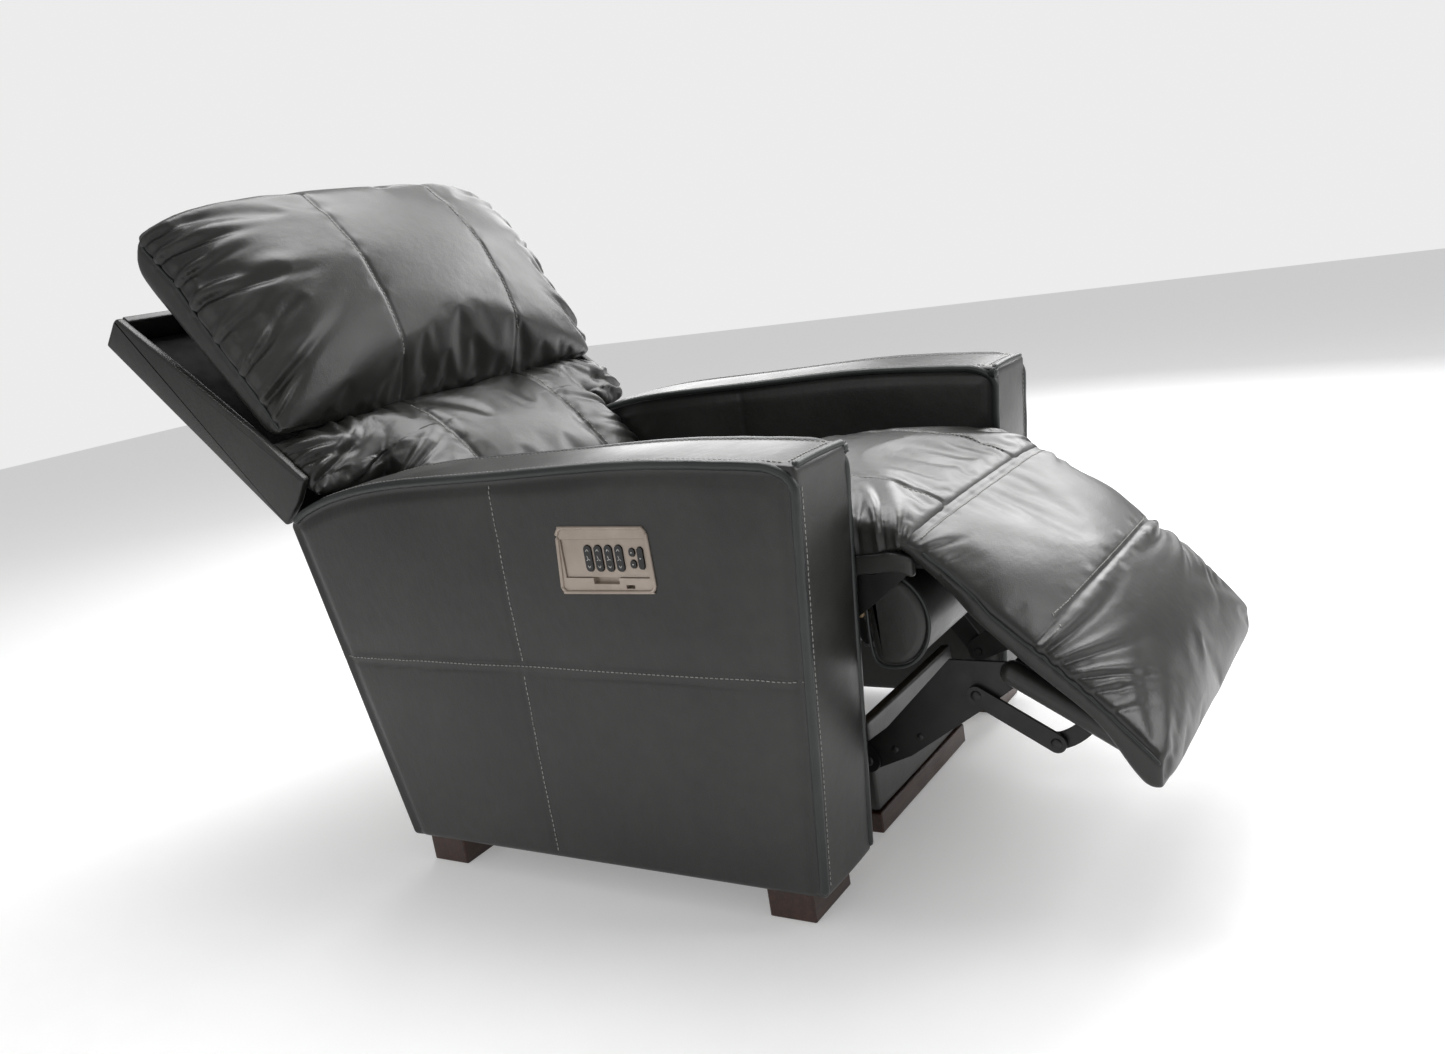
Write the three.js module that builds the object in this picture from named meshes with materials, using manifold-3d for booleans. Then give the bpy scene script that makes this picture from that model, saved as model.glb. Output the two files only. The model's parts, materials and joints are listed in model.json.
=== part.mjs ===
// Power recliner armchair, shown reclined with its footrest out.
// Millimetres, +Z up, the sitter faces -Y, +X is the sitter's left.
// Joint value 0 is this open position; the joints close the chair again.
import * as THREE from 'three';
import { mergeVertices } from 'three/addons/utils/BufferGeometryUtils.js';
import Module from 'manifold-3d';

const wasm = await Module();
wasm.setup();

// ---------------------------------------------------------------- driving dimensions
const CLEARANCE = 0.4;            // gap kept between pieces that touch
const HALF_WIDTH = 420;           // half of the overall width
const ARM_INNER = 278;            // inner face of each arm
const PANEL = 18;                 // thickness of the arm's side panels
const PAD = 40;                   // thickness of the arm's top pad
const ARM_BASE = 44;              // underside of the arms above the floor
const FOOT_HEIGHT = ARM_BASE - CLEARANCE;
const RECLINE_SLOPE = THREE.MathUtils.degToRad(42.8);   // the open back above horizontal
const BACK_TOP = [1253, 870];     // top rear edge of the back shell (y, z)
const FOOTREST_SLOPE = THREE.MathUtils.degToRad(43.6);  // the open footrest below horizontal
const FOOTREST_HINGE = [-45, 445];
const BACK_HINGE = [724, 460];
const SLIDE_ANGLE = THREE.MathUtils.degToRad(10.6);     // the slide rails fall to the rear
const TIP_PIVOT = [-155, 287];    // lift link to footrest board
const FRONT_PIVOT = [-256, 228];  // curved link to footrest board
const TOGGLE_PIVOT = [-110, 257]; // toggle link on the lift link
const LIFT_REAR = [60, 150];      // lift link on the swing frame
const PLATE = 6;                  // steel plate thickness
const PIN = 6;                    // radius of the linkage pins

// Pivots that follow from the parallelograms the linkage is made of.
const SWING_PIVOT = [
  LIFT_REAR[0] + FOOTREST_HINGE[0] - TIP_PIVOT[0],
  LIFT_REAR[1] + FOOTREST_HINGE[1] - TIP_PIVOT[1],
];
const KNEE_PIVOT = [
  TOGGLE_PIVOT[0] + FRONT_PIVOT[0] - TIP_PIVOT[0],
  TOGGLE_PIVOT[1] + FRONT_PIVOT[1] - TIP_PIVOT[1],
];

// Layers of the linkage, as distances from the centre plane.
const LUG_LAYER = [205, 211];
const LIFT_LAYER = [213, 219];
const OUTER_LAYER = [221, 226];
const SIDE_PLATE_LAYER = [262, 268];
const RAIL_LAYER = [270, ARM_INNER - CLEARANCE];

// ---------------------------------------------------------------- materials
const finish = (color, roughness, metalness) => ({ color, roughness, metalness });
const LEATHER = finish(0x3a4042, 0.38, 0);
const STEEL = finish(0x141414, 0.5, 0.6);
const TIMBER = finish(0x5a2f1c, 0.5, 0);
const BOARD = finish(0x8b7355, 0.8, 0);
const ZINC = finish(0x8d9094, 0.4, 0.8);
const PLASTIC = finish(0x101010, 0.45, 0);
const SATIN_METAL = finish(0xa8998a, 0.35, 0.7);

const armchair = new THREE.Group();

/** Adds one named piece to a group, with a material of its own. */
function addPiece(parent, name, geometry, look) {
  const mesh = new THREE.Mesh(geometry, new THREE.MeshStandardMaterial(look));
  mesh.name = name;
  parent.add(mesh);
  return mesh;
}

// ---------------------------------------------------------------- solids
/** A closed geometry as a solid that can be joined and cut. */
function toSolid(geometry) {
  const bare = geometry.clone();
  bare.deleteAttribute('normal');
  bare.deleteAttribute('uv');
  const merged = mergeVertices(bare, 1e-4);
  return new wasm.Manifold(new wasm.Mesh({
    numProp: 3,
    vertProperties: new Float32Array(merged.attributes.position.array),
    triVerts: new Uint32Array(merged.index.array),
  }));
}

/** A solid back as a geometry. */
function toGeometry(solid) {
  const mesh = solid.getMesh();
  const geometry = new THREE.BufferGeometry();
  geometry.setAttribute('position', new THREE.BufferAttribute(new Float32Array(mesh.vertProperties), 3));
  geometry.setIndex(new THREE.BufferAttribute(new Uint32Array(mesh.triVerts), 1));
  geometry.computeVertexNormals();
  return geometry;
}

/** Several geometries joined into one. */
function join(...pieces) {
  return toGeometry(pieces.map(toSolid).reduce((whole, piece) => whole.add(piece)));
}

/** A geometry with others cut out of it. */
function cut(geometry, ...tools) {
  const solids = tools.map(toSolid);
  return toGeometry(solids.reduce((whole, tool) => whole.subtract(tool), toSolid(geometry)));
}

/** A box from its two corners. */
function block(x, y, z) {
  const box = new THREE.BoxGeometry(x[1] - x[0], y[1] - y[0], z[1] - z[0]);
  return box.translate((x[0] + x[1]) / 2, (y[0] + y[1]) / 2, (z[0] + z[1]) / 2);
}

/** A round bar along X. */
function barX(radius, x, [y, z], sides = 20) {
  const bar = new THREE.CylinderGeometry(radius, radius, x[1] - x[0], sides);
  return bar.rotateZ(Math.PI / 2).translate((x[0] + x[1]) / 2, y, z);
}

/** A round bar along Y. */
function barY(radius, y, x, z, sides = 20) {
  return new THREE.CylinderGeometry(radius, radius, y[1] - y[0], sides).translate(x, (y[0] + y[1]) / 2, z);
}

/** A closed outline from its corners, turned anticlockwise so that holes can be cut in it. */
function outline(corners) {
  const points = corners.map(([a, b]) => new THREE.Vector2(a, b));
  return new THREE.Shape(THREE.ShapeUtils.isClockWise(points) ? points.reverse() : points);
}

/** A round hole for an outline. */
function hole([a, b], radius) {
  const path = new THREE.Path();
  path.absarc(a, b, radius, 0, 2 * Math.PI, true);
  return path;
}

/** The outline of a link: two round ends joined by straight sides, with a hole in each end. */
function linkOutline(from, to, width, holes) {
  const turn = Math.atan2(to[1] - from[1], to[0] - from[0]);
  const shape = new THREE.Shape();
  shape.absarc(from[0], from[1], width / 2, turn + Math.PI / 2, turn + 1.5 * Math.PI, false);
  shape.absarc(to[0], to[1], width / 2, turn - Math.PI / 2, turn + Math.PI / 2, false);
  shape.closePath();
  holes.forEach(([at, radius]) => shape.holes.push(hole(at, radius)));
  return shape;
}

/** A side view (y, z) given a width along X. */
function sideView(shape, x) {
  const geometry = new THREE.ExtrudeGeometry(shape, {
    depth: x[1] - x[0], bevelEnabled: false, curveSegments: 10,
  });
  const toSide = new THREE.Matrix4().makeBasis(
    new THREE.Vector3(0, 1, 0), new THREE.Vector3(0, 0, 1), new THREE.Vector3(1, 0, 0),
  );
  return geometry.applyMatrix4(toSide).translate(x[0], 0, 0);
}

/** The same layer on one side of the chair: side is -1 on the right and 1 on the left. */
const layer = (side, [near, far]) => (side > 0 ? [near, far] : [-far, -near]);

// ---------------------------------------------------------------- arms
const FRONT_LEAN = 45 / (612 - ARM_BASE);    // the front face leans in towards the floor
const armFront = (z) => (612 - z) * FRONT_LEAN;
const REAR_TIP = [907, 557];
const REAR_LEAN = 122 / (REAR_TIP[1] - ARM_BASE);
const armRear = (z) => REAR_TIP[0] - (REAR_TIP[1] - z) * REAR_LEAN;
const armCrown = new THREE.SplineCurve([
  [0, 606], [12, 616], [129, 625], [264, 629], [463, 623], [680, 616], [799, 600], [874, 577], REAR_TIP,
].map(([y, z]) => new THREE.Vector2(y, z)));

/** The crown line as points, lowered by a drop and kept between two places along the arm. */
function crownLine(drop, from, to, count = 16) {
  const points = armCrown.getPoints(count * 3).filter((p) => p.y - drop > 0 && p.x > from && p.x < to);
  const every = Math.ceil(points.length / count);
  return points.filter((p, i) => i % every === 0 || i === points.length - 1).map((p) => [p.x, p.y - drop]);
}

const PANEL_TOP_FRONT = 572;
const PANEL_TOP_REAR = 532;
const END_PANEL = 20;
const BEZEL = [[375, 547], [228, 545], [227, 457], [383, 455]];
const BEZEL_CORNER = 13;

/** A polygon with every corner rounded, grown by a margin. */
function roundedOutline(corners, radius, margin = 0) {
  const middle = (axis) => corners.reduce((sum, corner) => sum + corner[axis], 0) / corners.length;
  const away = (value, axis) => value + Math.sign(value - middle(axis)) * margin;
  const grown = corners.map(([a, b]) => [away(a, 0), away(b, 1)]);
  const shape = new THREE.Shape();
  grown.forEach(([a, b], i) => {
    const [pa, pb] = grown[(i + grown.length - 1) % grown.length];
    const [na, nb] = grown[(i + 1) % grown.length];
    const before = Math.hypot(pa - a, pb - b);
    const after = Math.hypot(na - a, nb - b);
    const start = [a + (pa - a) * radius / before, b + (pb - b) * radius / before];
    const end = [a + (na - a) * radius / after, b + (nb - b) * radius / after];
    if (i === 0) shape.moveTo(...start);
    else shape.lineTo(...start);
    shape.quadraticCurveTo(a, b, ...end);
  });
  shape.closePath();
  return shape;
}

function addArm(side, sideName) {
  const gap = CLEARANCE;
  const full = layer(side, [ARM_INNER, HALF_WIDTH]);
  const frontInside = (z) => armFront(z) + END_PANEL + gap;
  const rearInside = (z) => armRear(z) - END_PANEL - gap;
  const panelTop = crownLine(PAD + 2, frontInside(560), rearInside(540));
  const panel = outline([
    [frontInside(ARM_BASE), ARM_BASE], [frontInside(PANEL_TOP_FRONT), PANEL_TOP_FRONT],
    ...panelTop,
    [rearInside(PANEL_TOP_REAR - 15), PANEL_TOP_REAR - 15], [rearInside(ARM_BASE), ARM_BASE],
  ]);
  const outer = sideView(panel, layer(side, [HALF_WIDTH - PANEL, HALF_WIDTH]));
  const window = sideView(
    roundedOutline(BEZEL, BEZEL_CORNER, gap),
    [-HALF_WIDTH - 5, -HALF_WIDTH + PANEL + 5],
  );
  addPiece(armchair, `${sideName}_arm_outer_panel`, side < 0 ? cut(outer, window) : outer, LEATHER);
  const inner = sideView(panel, layer(side, [ARM_INNER, ARM_INNER + PANEL]));
  addPiece(armchair, `${sideName}_arm_inner_panel`, inner, LEATHER);

  const crown = crownLine(0, -1, 2000, 20);
  const underside = crownLine(PAD, 18, 2000, 14)
    .filter(([y, z]) => y < rearInside(z) + END_PANEL)
    .reverse();
  const pad = outline([...crown, ...underside, [armFront(560), 566]]);
  addPiece(armchair, `${sideName}_arm_top_pad`, sideView(pad, full), LEATHER);

  const front = outline([
    [armFront(ARM_BASE), ARM_BASE], [armFront(565), 565],
    [armFront(565) + END_PANEL - 2, 570], [armFront(ARM_BASE) + END_PANEL, ARM_BASE],
  ]);
  addPiece(armchair, `${sideName}_arm_front_panel`, sideView(front, full), LEATHER);
  const rear = outline([
    [armRear(ARM_BASE) - END_PANEL, ARM_BASE], [armRear(505) - END_PANEL, 505],
    [armRear(505), 505], [armRear(ARM_BASE), ARM_BASE],
  ]);
  addPiece(armchair, `${sideName}_arm_rear_panel`, sideView(rear, full), LEATHER);

  [['front', [72, 142]], ['rear', [690, 760]]].forEach(([end, y]) => {
    const foot = block(layer(side, [ARM_INNER + 24, HALF_WIDTH - 12]), y, [0, FOOT_HEIGHT]);
    addPiece(armchair, `${sideName}_${end}_foot`, foot, TIMBER);
  });
}
addArm(-1, 'right');
addArm(1, 'left');

// ---------------------------------------------------------------- base between the arms
const BETWEEN = [-ARM_INNER + CLEARANCE, ARM_INNER - CLEARANCE];
const FRONT_BOARD_Y = [86, 104];
const REAR_BOARD_Y = [742, 760];
addPiece(armchair, 'front_board', block([-165, 165], FRONT_BOARD_Y, [38.4, 180]), LEATHER);
addPiece(armchair, 'front_rail', block([-168, 168], [82, 108], [6, 38]), TIMBER);
addPiece(armchair, 'rear_board', block(BETWEEN, REAR_BOARD_Y, [60, 240]), BOARD);
const runnerY = [FRONT_BOARD_Y[1] + CLEARANCE, REAR_BOARD_Y[0] - CLEARANCE];
addPiece(armchair, 'base_runner', block([-30, 30], runnerY, [62, 92]), STEEL);

const railLine = (y) => 345 - (y - 400) * Math.tan(SLIDE_ANGLE);
[[-1, 'right'], [1, 'left']].forEach(([side, sideName]) => {
  const rail = outline([
    [150, railLine(150) - 15], [700, railLine(700) - 15],
    [700, railLine(700) + 15], [150, railLine(150) + 15],
  ]);
  addPiece(armchair, `${sideName}_slide_rail`, sideView(rail, layer(side, RAIL_LAYER)), ZINC);
});

// The recline motor lies along the slide, with its rod on the seat carriage.
const reclineDrive = new THREE.Group();
reclineDrive.position.set(120, 412, 335);
reclineDrive.rotation.x = -SLIDE_ANGLE;
armchair.add(reclineDrive);
const ROD = 9;
const motorTube = cut(barY(22, [100, 275], 0, 0), barY(ROD + 1, [90, 262], 0, 0));
const motorCase = block([-34, 34], [274, 330], [-60, 24]);
addPiece(reclineDrive, 'recline_motor', join(motorTube, motorCase), PLASTIC);
const rodLug = block([-12, 12], [-30, 10], [-10, 30]);
addPiece(reclineDrive, 'recline_rod', join(barY(ROD, [0, 165], 0, 0), rodLug), ZINC);

const INLET_Z = [96, 124];
const inletBody = block([150, 190], [REAR_BOARD_Y[1] + CLEARANCE, REAR_BOARD_Y[1] + 16], INLET_Z);
const inletSocket = block([156, 184], [REAR_BOARD_Y[1] + 6, REAR_BOARD_Y[1] + 20], [101, 119]);
addPiece(armchair, 'power_inlet', cut(inletBody, inletSocket), PLASTIC);

// ---------------------------------------------------------------- control dock
const DOCK_FACE = -HALF_WIDTH;
const HANDSET_Y = [235, 371];
const HANDSET_Z = [477, 529];
const HANDSET_DEPTH = 11;
const POCKET = 12;
const bezel = sideView(roundedOutline(BEZEL, BEZEL_CORNER), [DOCK_FACE, DOCK_FACE + PANEL - 2]);
const grow = ([low, high], by) => [low - by, high + by];
const pocket = block([DOCK_FACE - 1, DOCK_FACE + POCKET], grow(HANDSET_Y, 0.8), grow(HANDSET_Z, 0.8));
const fingerNotch = block([DOCK_FACE - 1, DOCK_FACE + 8], [284, 326], [468, HANDSET_Z[0]]);
const usbSocket = block([DOCK_FACE - 1, DOCK_FACE + 10], [260, 274], [462, 467]);
addPiece(armchair, 'dock_bezel', cut(bezel, pocket, fingerNotch, usbSocket), SATIN_METAL);

const BUTTON_FACE = DOCK_FACE + 0.3;
const HANDSET_FACE = DOCK_FACE + 2.5;
const BUTTON_WELL = DOCK_FACE + 7;
const ROCKER_Y = [329, 312, 295, 278];
const ROCKER_Z = 503;
const BUTTON_GAP = 0.7;
const pill = (y, z, width, height) => linkOutline(
  [y, z - (height - width) / 2], [y, z + (height - width) / 2], width, [],
);
const buttons = [
  ...ROCKER_Y.map((y, i) => [`rocker_${i + 1}`, y, ROCKER_Z, 12, 36]),
  ['memory_button_1', 257, 511, 9, 11],
  ['memory_button_2', 257, 495, 9, 11],
  ['home_button', 244, ROCKER_Z, 9, 30],
];
const handsetBody = block([HANDSET_FACE, HANDSET_FACE + HANDSET_DEPTH - 2], HANDSET_Y, HANDSET_Z);
const wells = buttons.map(([, y, z, width, height]) => sideView(
  pill(y, z, width + 2 * BUTTON_GAP, height + 2 * BUTTON_GAP), [DOCK_FACE - 2, BUTTON_WELL],
));
addPiece(armchair, 'handset', cut(handsetBody, ...wells), SATIN_METAL);
buttons.forEach(([name, y, z, width, height]) => {
  addPiece(armchair, name, sideView(pill(y, z, width, height), [BUTTON_FACE, BUTTON_WELL - 1.5]), PLASTIC);
});

// ---------------------------------------------------------------- seat carriage
[[-1, 'right'], [1, 'left']].forEach(([side, sideName]) => {
  const plate = outline([
    [-58, 438], [-58, 452], [-51, 459], [-36, 458], [-10, 436],
    [560, 436], [690, 482], [746, 482], [752, 440],
    [690, 340], [600, 330], [250, 330], [220, 284], [120, 284], [90, 330], [-10, 400],
  ]);
  plate.holes.push(hole(FOOTREST_HINGE, PIN + 0.6));
  plate.holes.push(hole(BACK_HINGE, 9));
  plate.holes.push(hole(SWING_PIVOT, 10.6));
  addPiece(armchair, `${sideName}_side_plate`, sideView(plate, layer(side, SIDE_PLATE_LAYER)), STEEL);
});
const DECK_HALF = SIDE_PLATE_LAYER[0] - CLEARANCE;
addPiece(armchair, 'seat_deck', block([-DECK_HALF, DECK_HALF], [20, 650], [374, 392]), BOARD);

const rollFace = new THREE.Shape();
rollFace.moveTo(16, 312);
rollFace.quadraticCurveTo(-46, 312, -46, 372);
rollFace.quadraticCurveTo(-46, 418, -14, 424);
rollFace.lineTo(16, 424);
rollFace.closePath();
addPiece(armchair, 'seat_front_roll', sideView(rollFace, [-DECK_HALF, DECK_HALF]), LEATHER);

const seatSide = outline([
  [18, 393], [18, 440], [-26, 466], [-40, 486], [-42, 500], [-20, 520], [50, 533], [215, 530],
  [400, 515], [590, 492], [612, 470], [600, 393],
]);
addPiece(armchair, 'seat_cushion', sideView(seatSide, [-DECK_HALF, DECK_HALF]), LEATHER);

// ---------------------------------------------------------------- footrest drive
const CRANK = 60;
const HALF_SWING = (Math.PI / 2 - FOOTREST_SLOPE) / 2;    // the closed footrest hangs upright
const crankPin = [
  SWING_PIVOT[0] - CRANK * Math.sin(HALF_SWING),
  SWING_PIVOT[1] - CRANK * Math.cos(HALF_SWING),
];
const slotMiddle = SWING_PIVOT[1] - CRANK * (1 + Math.cos(HALF_SWING)) / 2;
const DRIVE_X = 6;
const motorFront = crankPin[0] + 90;
const driveTube = cut(
  barY(20, [motorFront, motorFront + 120], DRIVE_X, slotMiddle),
  barY(ROD + 1, [motorFront - 10, motorFront + 110], DRIVE_X, slotMiddle),
);
const driveCase = block(
  [DRIVE_X - 32, DRIVE_X + 32],
  [motorFront + 119, motorFront + 176],
  [slotMiddle - 22, 300],
);
const driveHanger = block(
  [DRIVE_X - 20, DRIVE_X + 20],
  [motorFront + 130, motorFront + 165],
  [290, 374 - CLEARANCE],
);
addPiece(armchair, 'footrest_motor', join(driveTube, driveCase, driveHanger), PLASTIC);

const rodEye = sideView(roundedOutline([
  [crankPin[0] - 14, slotMiddle - 18], [crankPin[0] + 14, slotMiddle - 18],
  [crankPin[0] + 14, slotMiddle + 18], [crankPin[0] - 14, slotMiddle + 18],
], 6), [DRIVE_X - 5, DRIVE_X + 5]);
const eyeSlot = sideView(
  pill(crankPin[0], slotMiddle, 2 * PIN + 1.6, 2 * PIN + 9),
  [DRIVE_X - 9, DRIVE_X + 9],
);
const driveRod = barY(ROD, [crankPin[0] + 12, motorFront + 45], DRIVE_X, slotMiddle);
addPiece(armchair, 'actuator_rod', cut(join(rodEye, driveRod), eyeSlot), ZINC);

// ---------------------------------------------------------------- footrest linkage
const torqueTube = barX(14, [-OUTER_LAYER[1], OUTER_LAYER[1]], SWING_PIVOT, 24);
const crankArm = sideView(linkOutline(SWING_PIVOT, crankPin, 22, []), [DRIVE_X - 17, DRIVE_X - 10]);
const crankStub = barX(PIN, [DRIVE_X - 11, DRIVE_X + 8], crankPin);
const swingParts = [torqueTube, crankArm, crankStub];
[-1, 1].forEach((side) => {
  swingParts.push(sideView(linkOutline(SWING_PIVOT, LIFT_REAR, 34, []), layer(side, OUTER_LAYER)));
  swingParts.push(barX(PIN, layer(side, [LIFT_LAYER[0] - 1, OUTER_LAYER[0] + 1]), LIFT_REAR));
  swingParts.push(barX(10, layer(side, [OUTER_LAYER[1] - 1, SIDE_PLATE_LAYER[1]]), SWING_PIVOT));
});
addPiece(armchair, 'swing_frame', join(...swingParts), STEEL);

[[-1, 'right'], [1, 'left']].forEach(([side, sideName]) => {
  const lift = outline([
    [78, 150], [74, 138], [60, 132], [-4, 160], [-126, 243], [-168, 274], [-170, 296], [-152, 303],
    [-74, 303], [29, 199], [74, 166],
  ]);
  lift.holes.push(hole(LIFT_REAR, PIN + 0.6));
  lift.holes.push(hole(TIP_PIVOT, PIN + 1.5));
  const toggleStub = barX(PIN - 0.5, layer(side, [LIFT_LAYER[1] - 1, OUTER_LAYER[1] + 1]), TOGGLE_PIVOT);
  const liftLink = join(sideView(lift, layer(side, LIFT_LAYER)), toggleStub);
  addPiece(armchair, `${sideName}_lift_link`, liftLink, STEEL);

  const toggleHoles = [[TOGGLE_PIVOT, PIN], [KNEE_PIVOT, PIN]];
  const toggle = linkOutline(TOGGLE_PIVOT, KNEE_PIVOT, 26, toggleHoles);
  addPiece(armchair, `${sideName}_toggle_link`, sideView(toggle, layer(side, OUTER_LAYER)), STEEL);

  const curve = new THREE.QuadraticBezierCurve(
    new THREE.Vector2(...KNEE_PIVOT), new THREE.Vector2(-236, 204), new THREE.Vector2(...FRONT_PIVOT),
  );
  const spine = curve.getPoints(6);
  const offset = (p, t, by) => {
    const along = curve.getTangent(t);
    return [p.x - along.y * by, p.y + along.x * by];
  };
  const upper = spine.map((p, i) => offset(p, i / 6, -11));
  const lower = spine.map((p, i) => offset(p, i / 6, 11)).reverse();
  const bow = sideView(outline([...upper, ...lower]), layer(side, LIFT_LAYER));
  const kneeEnd = barX(12, layer(side, LIFT_LAYER), KNEE_PIVOT);
  const frontEnd = barX(12, layer(side, LIFT_LAYER), FRONT_PIVOT);
  const kneeStub = barX(PIN - 0.5, layer(side, [LIFT_LAYER[1] - 1, OUTER_LAYER[1] + 1]), KNEE_PIVOT);
  const frontHole = barX(PIN + 1, layer(side, [LIFT_LAYER[0] - 2, LIFT_LAYER[1] + 2]), FRONT_PIVOT);
  const curved = cut(join(bow, kneeEnd, frontEnd, kneeStub), frontHole);
  addPiece(armchair, `${sideName}_curved_link`, curved, STEEL);
});

// ---------------------------------------------------------------- footrest
// Inside this group +Y runs up along the footrest and +Z out of its padded face.
const footrest = new THREE.Group();
footrest.position.set(0, ...FOOTREST_HINGE);
footrest.rotation.x = FOOTREST_SLOPE;
armchair.add(footrest);

/** A point (y, z) of the open chair in a turned group's own (y, z). */
function inGroup([y, z], [originY, originZ], angle) {
  const dy = y - originY;
  const dz = z - originZ;
  return [dy * Math.cos(angle) + dz * Math.sin(angle), -dy * Math.sin(angle) + dz * Math.cos(angle)];
}
const tipLocal = inGroup(TIP_PIVOT, FOOTREST_HINGE, FOOTREST_SLOPE);
const frontLocal = inGroup(FRONT_PIVOT, FOOTREST_HINGE, FOOTREST_SLOPE);
const FOOTREST_HALF = 268;
const BOARD_END = -384;
const boardSlope = (frontLocal[1] - tipLocal[1]) / (frontLocal[0] - tipLocal[0]);
const pivotLine = (y) => tipLocal[1] + (y - tipLocal[0]) * boardSlope;
const BOARD_REAR = tipLocal[0] + 6;
const BOARD_RISE = 18;             // the board stands clear of the links below it
const BOARD_THICKNESS = 12;
const boardSide = outline([
  [BOARD_REAR, pivotLine(BOARD_REAR) + BOARD_RISE],
  [BOARD_REAR, pivotLine(BOARD_REAR) + BOARD_RISE + BOARD_THICKNESS],
  [BOARD_END, pivotLine(BOARD_END) + BOARD_RISE + BOARD_THICKNESS],
  [BOARD_END, pivotLine(BOARD_END) + BOARD_RISE],
]);
const boardParts = [sideView(boardSide, [-240, 240])];
[-1, 1].forEach((side) => {
  [tipLocal, frontLocal].forEach(([y, z]) => {
    boardParts.push(sideView(outline([
      [y - 11, z - 11], [y + 6, z - 11], [y + 6, z + BOARD_RISE + 2], [y - 16, z + BOARD_RISE + 2],
    ]), layer(side, LUG_LAYER)));
    boardParts.push(barX(PIN - 0.5, layer(side, [LUG_LAYER[1] - 1, LIFT_LAYER[1] + 1]), [y, z]));
  });
});
addPiece(footrest, 'footrest_board', join(...boardParts), STEEL);

const FLAP_HALF = 236;
const flapParts = [block([-FLAP_HALF, FLAP_HALF], [-180, -8], [5, 13])];
[-1, 1].forEach((side) => {
  flapParts.push(sideView(outline([[-24, 7], [-24, 13], [8, 13], [10, 0], [4, -8], [-6, -8]]),
    layer(side, [FLAP_HALF - 8, FLAP_HALF])));
  flapParts.push(barX(PIN, layer(side, [FLAP_HALF - 1, SIDE_PLATE_LAYER[1]]), [0, 0]));
});
addPiece(footrest, 'flap_board', join(...flapParts), STEEL);

const padSide = outline([
  [-8, 19], [-8, 44], [-30, 54], [-90, 64], [-195, 71], [-300, 66], [-372, 54], [-402, 38], [-410, 20],
  [-402, 6], [BOARD_END - 3, 4], [BOARD_END - 3, 39], [-300, 24], [-196, 18],
]);
addPiece(footrest, 'footrest_pad', sideView(padSide, [-FOOTREST_HALF, FOOTREST_HALF]), LEATHER);

// ---------------------------------------------------------------- back
// Inside this group +Y runs up along the back shell and +Z forward out of it.
const back = new THREE.Group();
back.position.set(0, ...BACK_TOP);
back.rotation.x = RECLINE_SLOPE;
armchair.add(back);

const SHELL = 14;
const WING_FOOT = -462;
const LOWER_END = -760;
const LOWER_HALF = 248;
const backPanel = outline([
  [HALF_WIDTH, 0], [-HALF_WIDTH, 0], [-HALF_WIDTH, WING_FOOT], [-LOWER_HALF, WING_FOOT],
  [-LOWER_HALF, LOWER_END], [LOWER_HALF, LOWER_END], [LOWER_HALF, WING_FOOT], [HALF_WIDTH, WING_FOOT],
]);
const backSheet = new THREE.ExtrudeGeometry(backPanel, { depth: SHELL, bevelEnabled: false });
addPiece(back, 'back_panel', backSheet, LEATHER);
[[-1, 'right'], [1, 'left']].forEach(([side, sideName]) => {
  const wing = outline([
    [WING_FOOT, SHELL + CLEARANCE], [WING_FOOT - 3, 50], [WING_FOOT + 2, 96], [-341, 92], [-166, 76],
    [0, 58], [0, SHELL + CLEARANCE],
  ]);
  const wingPanel = sideView(wing, layer(side, [HALF_WIDTH - 16, HALF_WIDTH]));
  addPiece(back, `${sideName}_back_wing`, wingPanel, LEATHER);
  const hingeLocal = inGroup(BACK_HINGE, BACK_TOP, RECLINE_SLOPE);
  const bracket = outline([
    [LOWER_END + 10, SHELL + CLEARANCE], [LOWER_END + 10, 40], [hingeLocal[0] - 22, hingeLocal[1] + 22],
    [hingeLocal[0] + 22, hingeLocal[1] + 22], [-560, SHELL + CLEARANCE],
  ]);
  const hingePin = barX(8, layer(side, [LOWER_HALF, SIDE_PLATE_LAYER[1]]), hingeLocal);
  const hinge = join(sideView(bracket, layer(side, [LOWER_HALF - 6, LOWER_HALF + 2])), hingePin);
  addPiece(back, `${sideName}_back_hinge`, hinge, STEEL);
});
const railX = [-HALF_WIDTH + 16 + CLEARANCE, HALF_WIDTH - 16 - CLEARANCE];
addPiece(back, 'back_top_rail', block(railX, [-16, 0], [SHELL + CLEARANCE, 58]), LEATHER);

const lumbarCore = sideView(outline([
  [-376, 44], [-376, 104], [-400, 126], [-470, 142], [-600, 141], [-672, 128], [-690, 96], [-690, 44],
]), [-238, 238]);
const lumbarWide = sideView(outline([
  [-378, 46], [-378, 98], [-400, 112], [-440, 112], [-458, 90], [-458, 46],
]), [-396, 396]);
addPiece(back, 'lumbar_cushion', join(lumbarCore, lumbarWide), LEATHER);
addPiece(back, 'lumbar_plate', block([-120, 120], [-640, -490], [SHELL + 4, SHELL + 10]), STEEL);

const HEAD_PIVOT = [-350, 100];
const HEAD_TILT = Math.atan2(60, 355);
const headBar = block([-236, 236], [-362, -338], [SHELL + CLEARANCE, 26]);
const headPosts = [-1, 1].map((side) => sideView(outline([
  [-364, 20], [-336, 20], [-338, HEAD_PIVOT[1] + 12], [-362, HEAD_PIVOT[1] + 12],
]), layer(side, [230, 236])));
const headHoles = [-1, 1].map((side) => barX(PIN + 0.6, layer(side, [226, 240]), HEAD_PIVOT));
addPiece(back, 'headrest_bracket', cut(join(headBar, ...headPosts), ...headHoles), STEEL);

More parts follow.
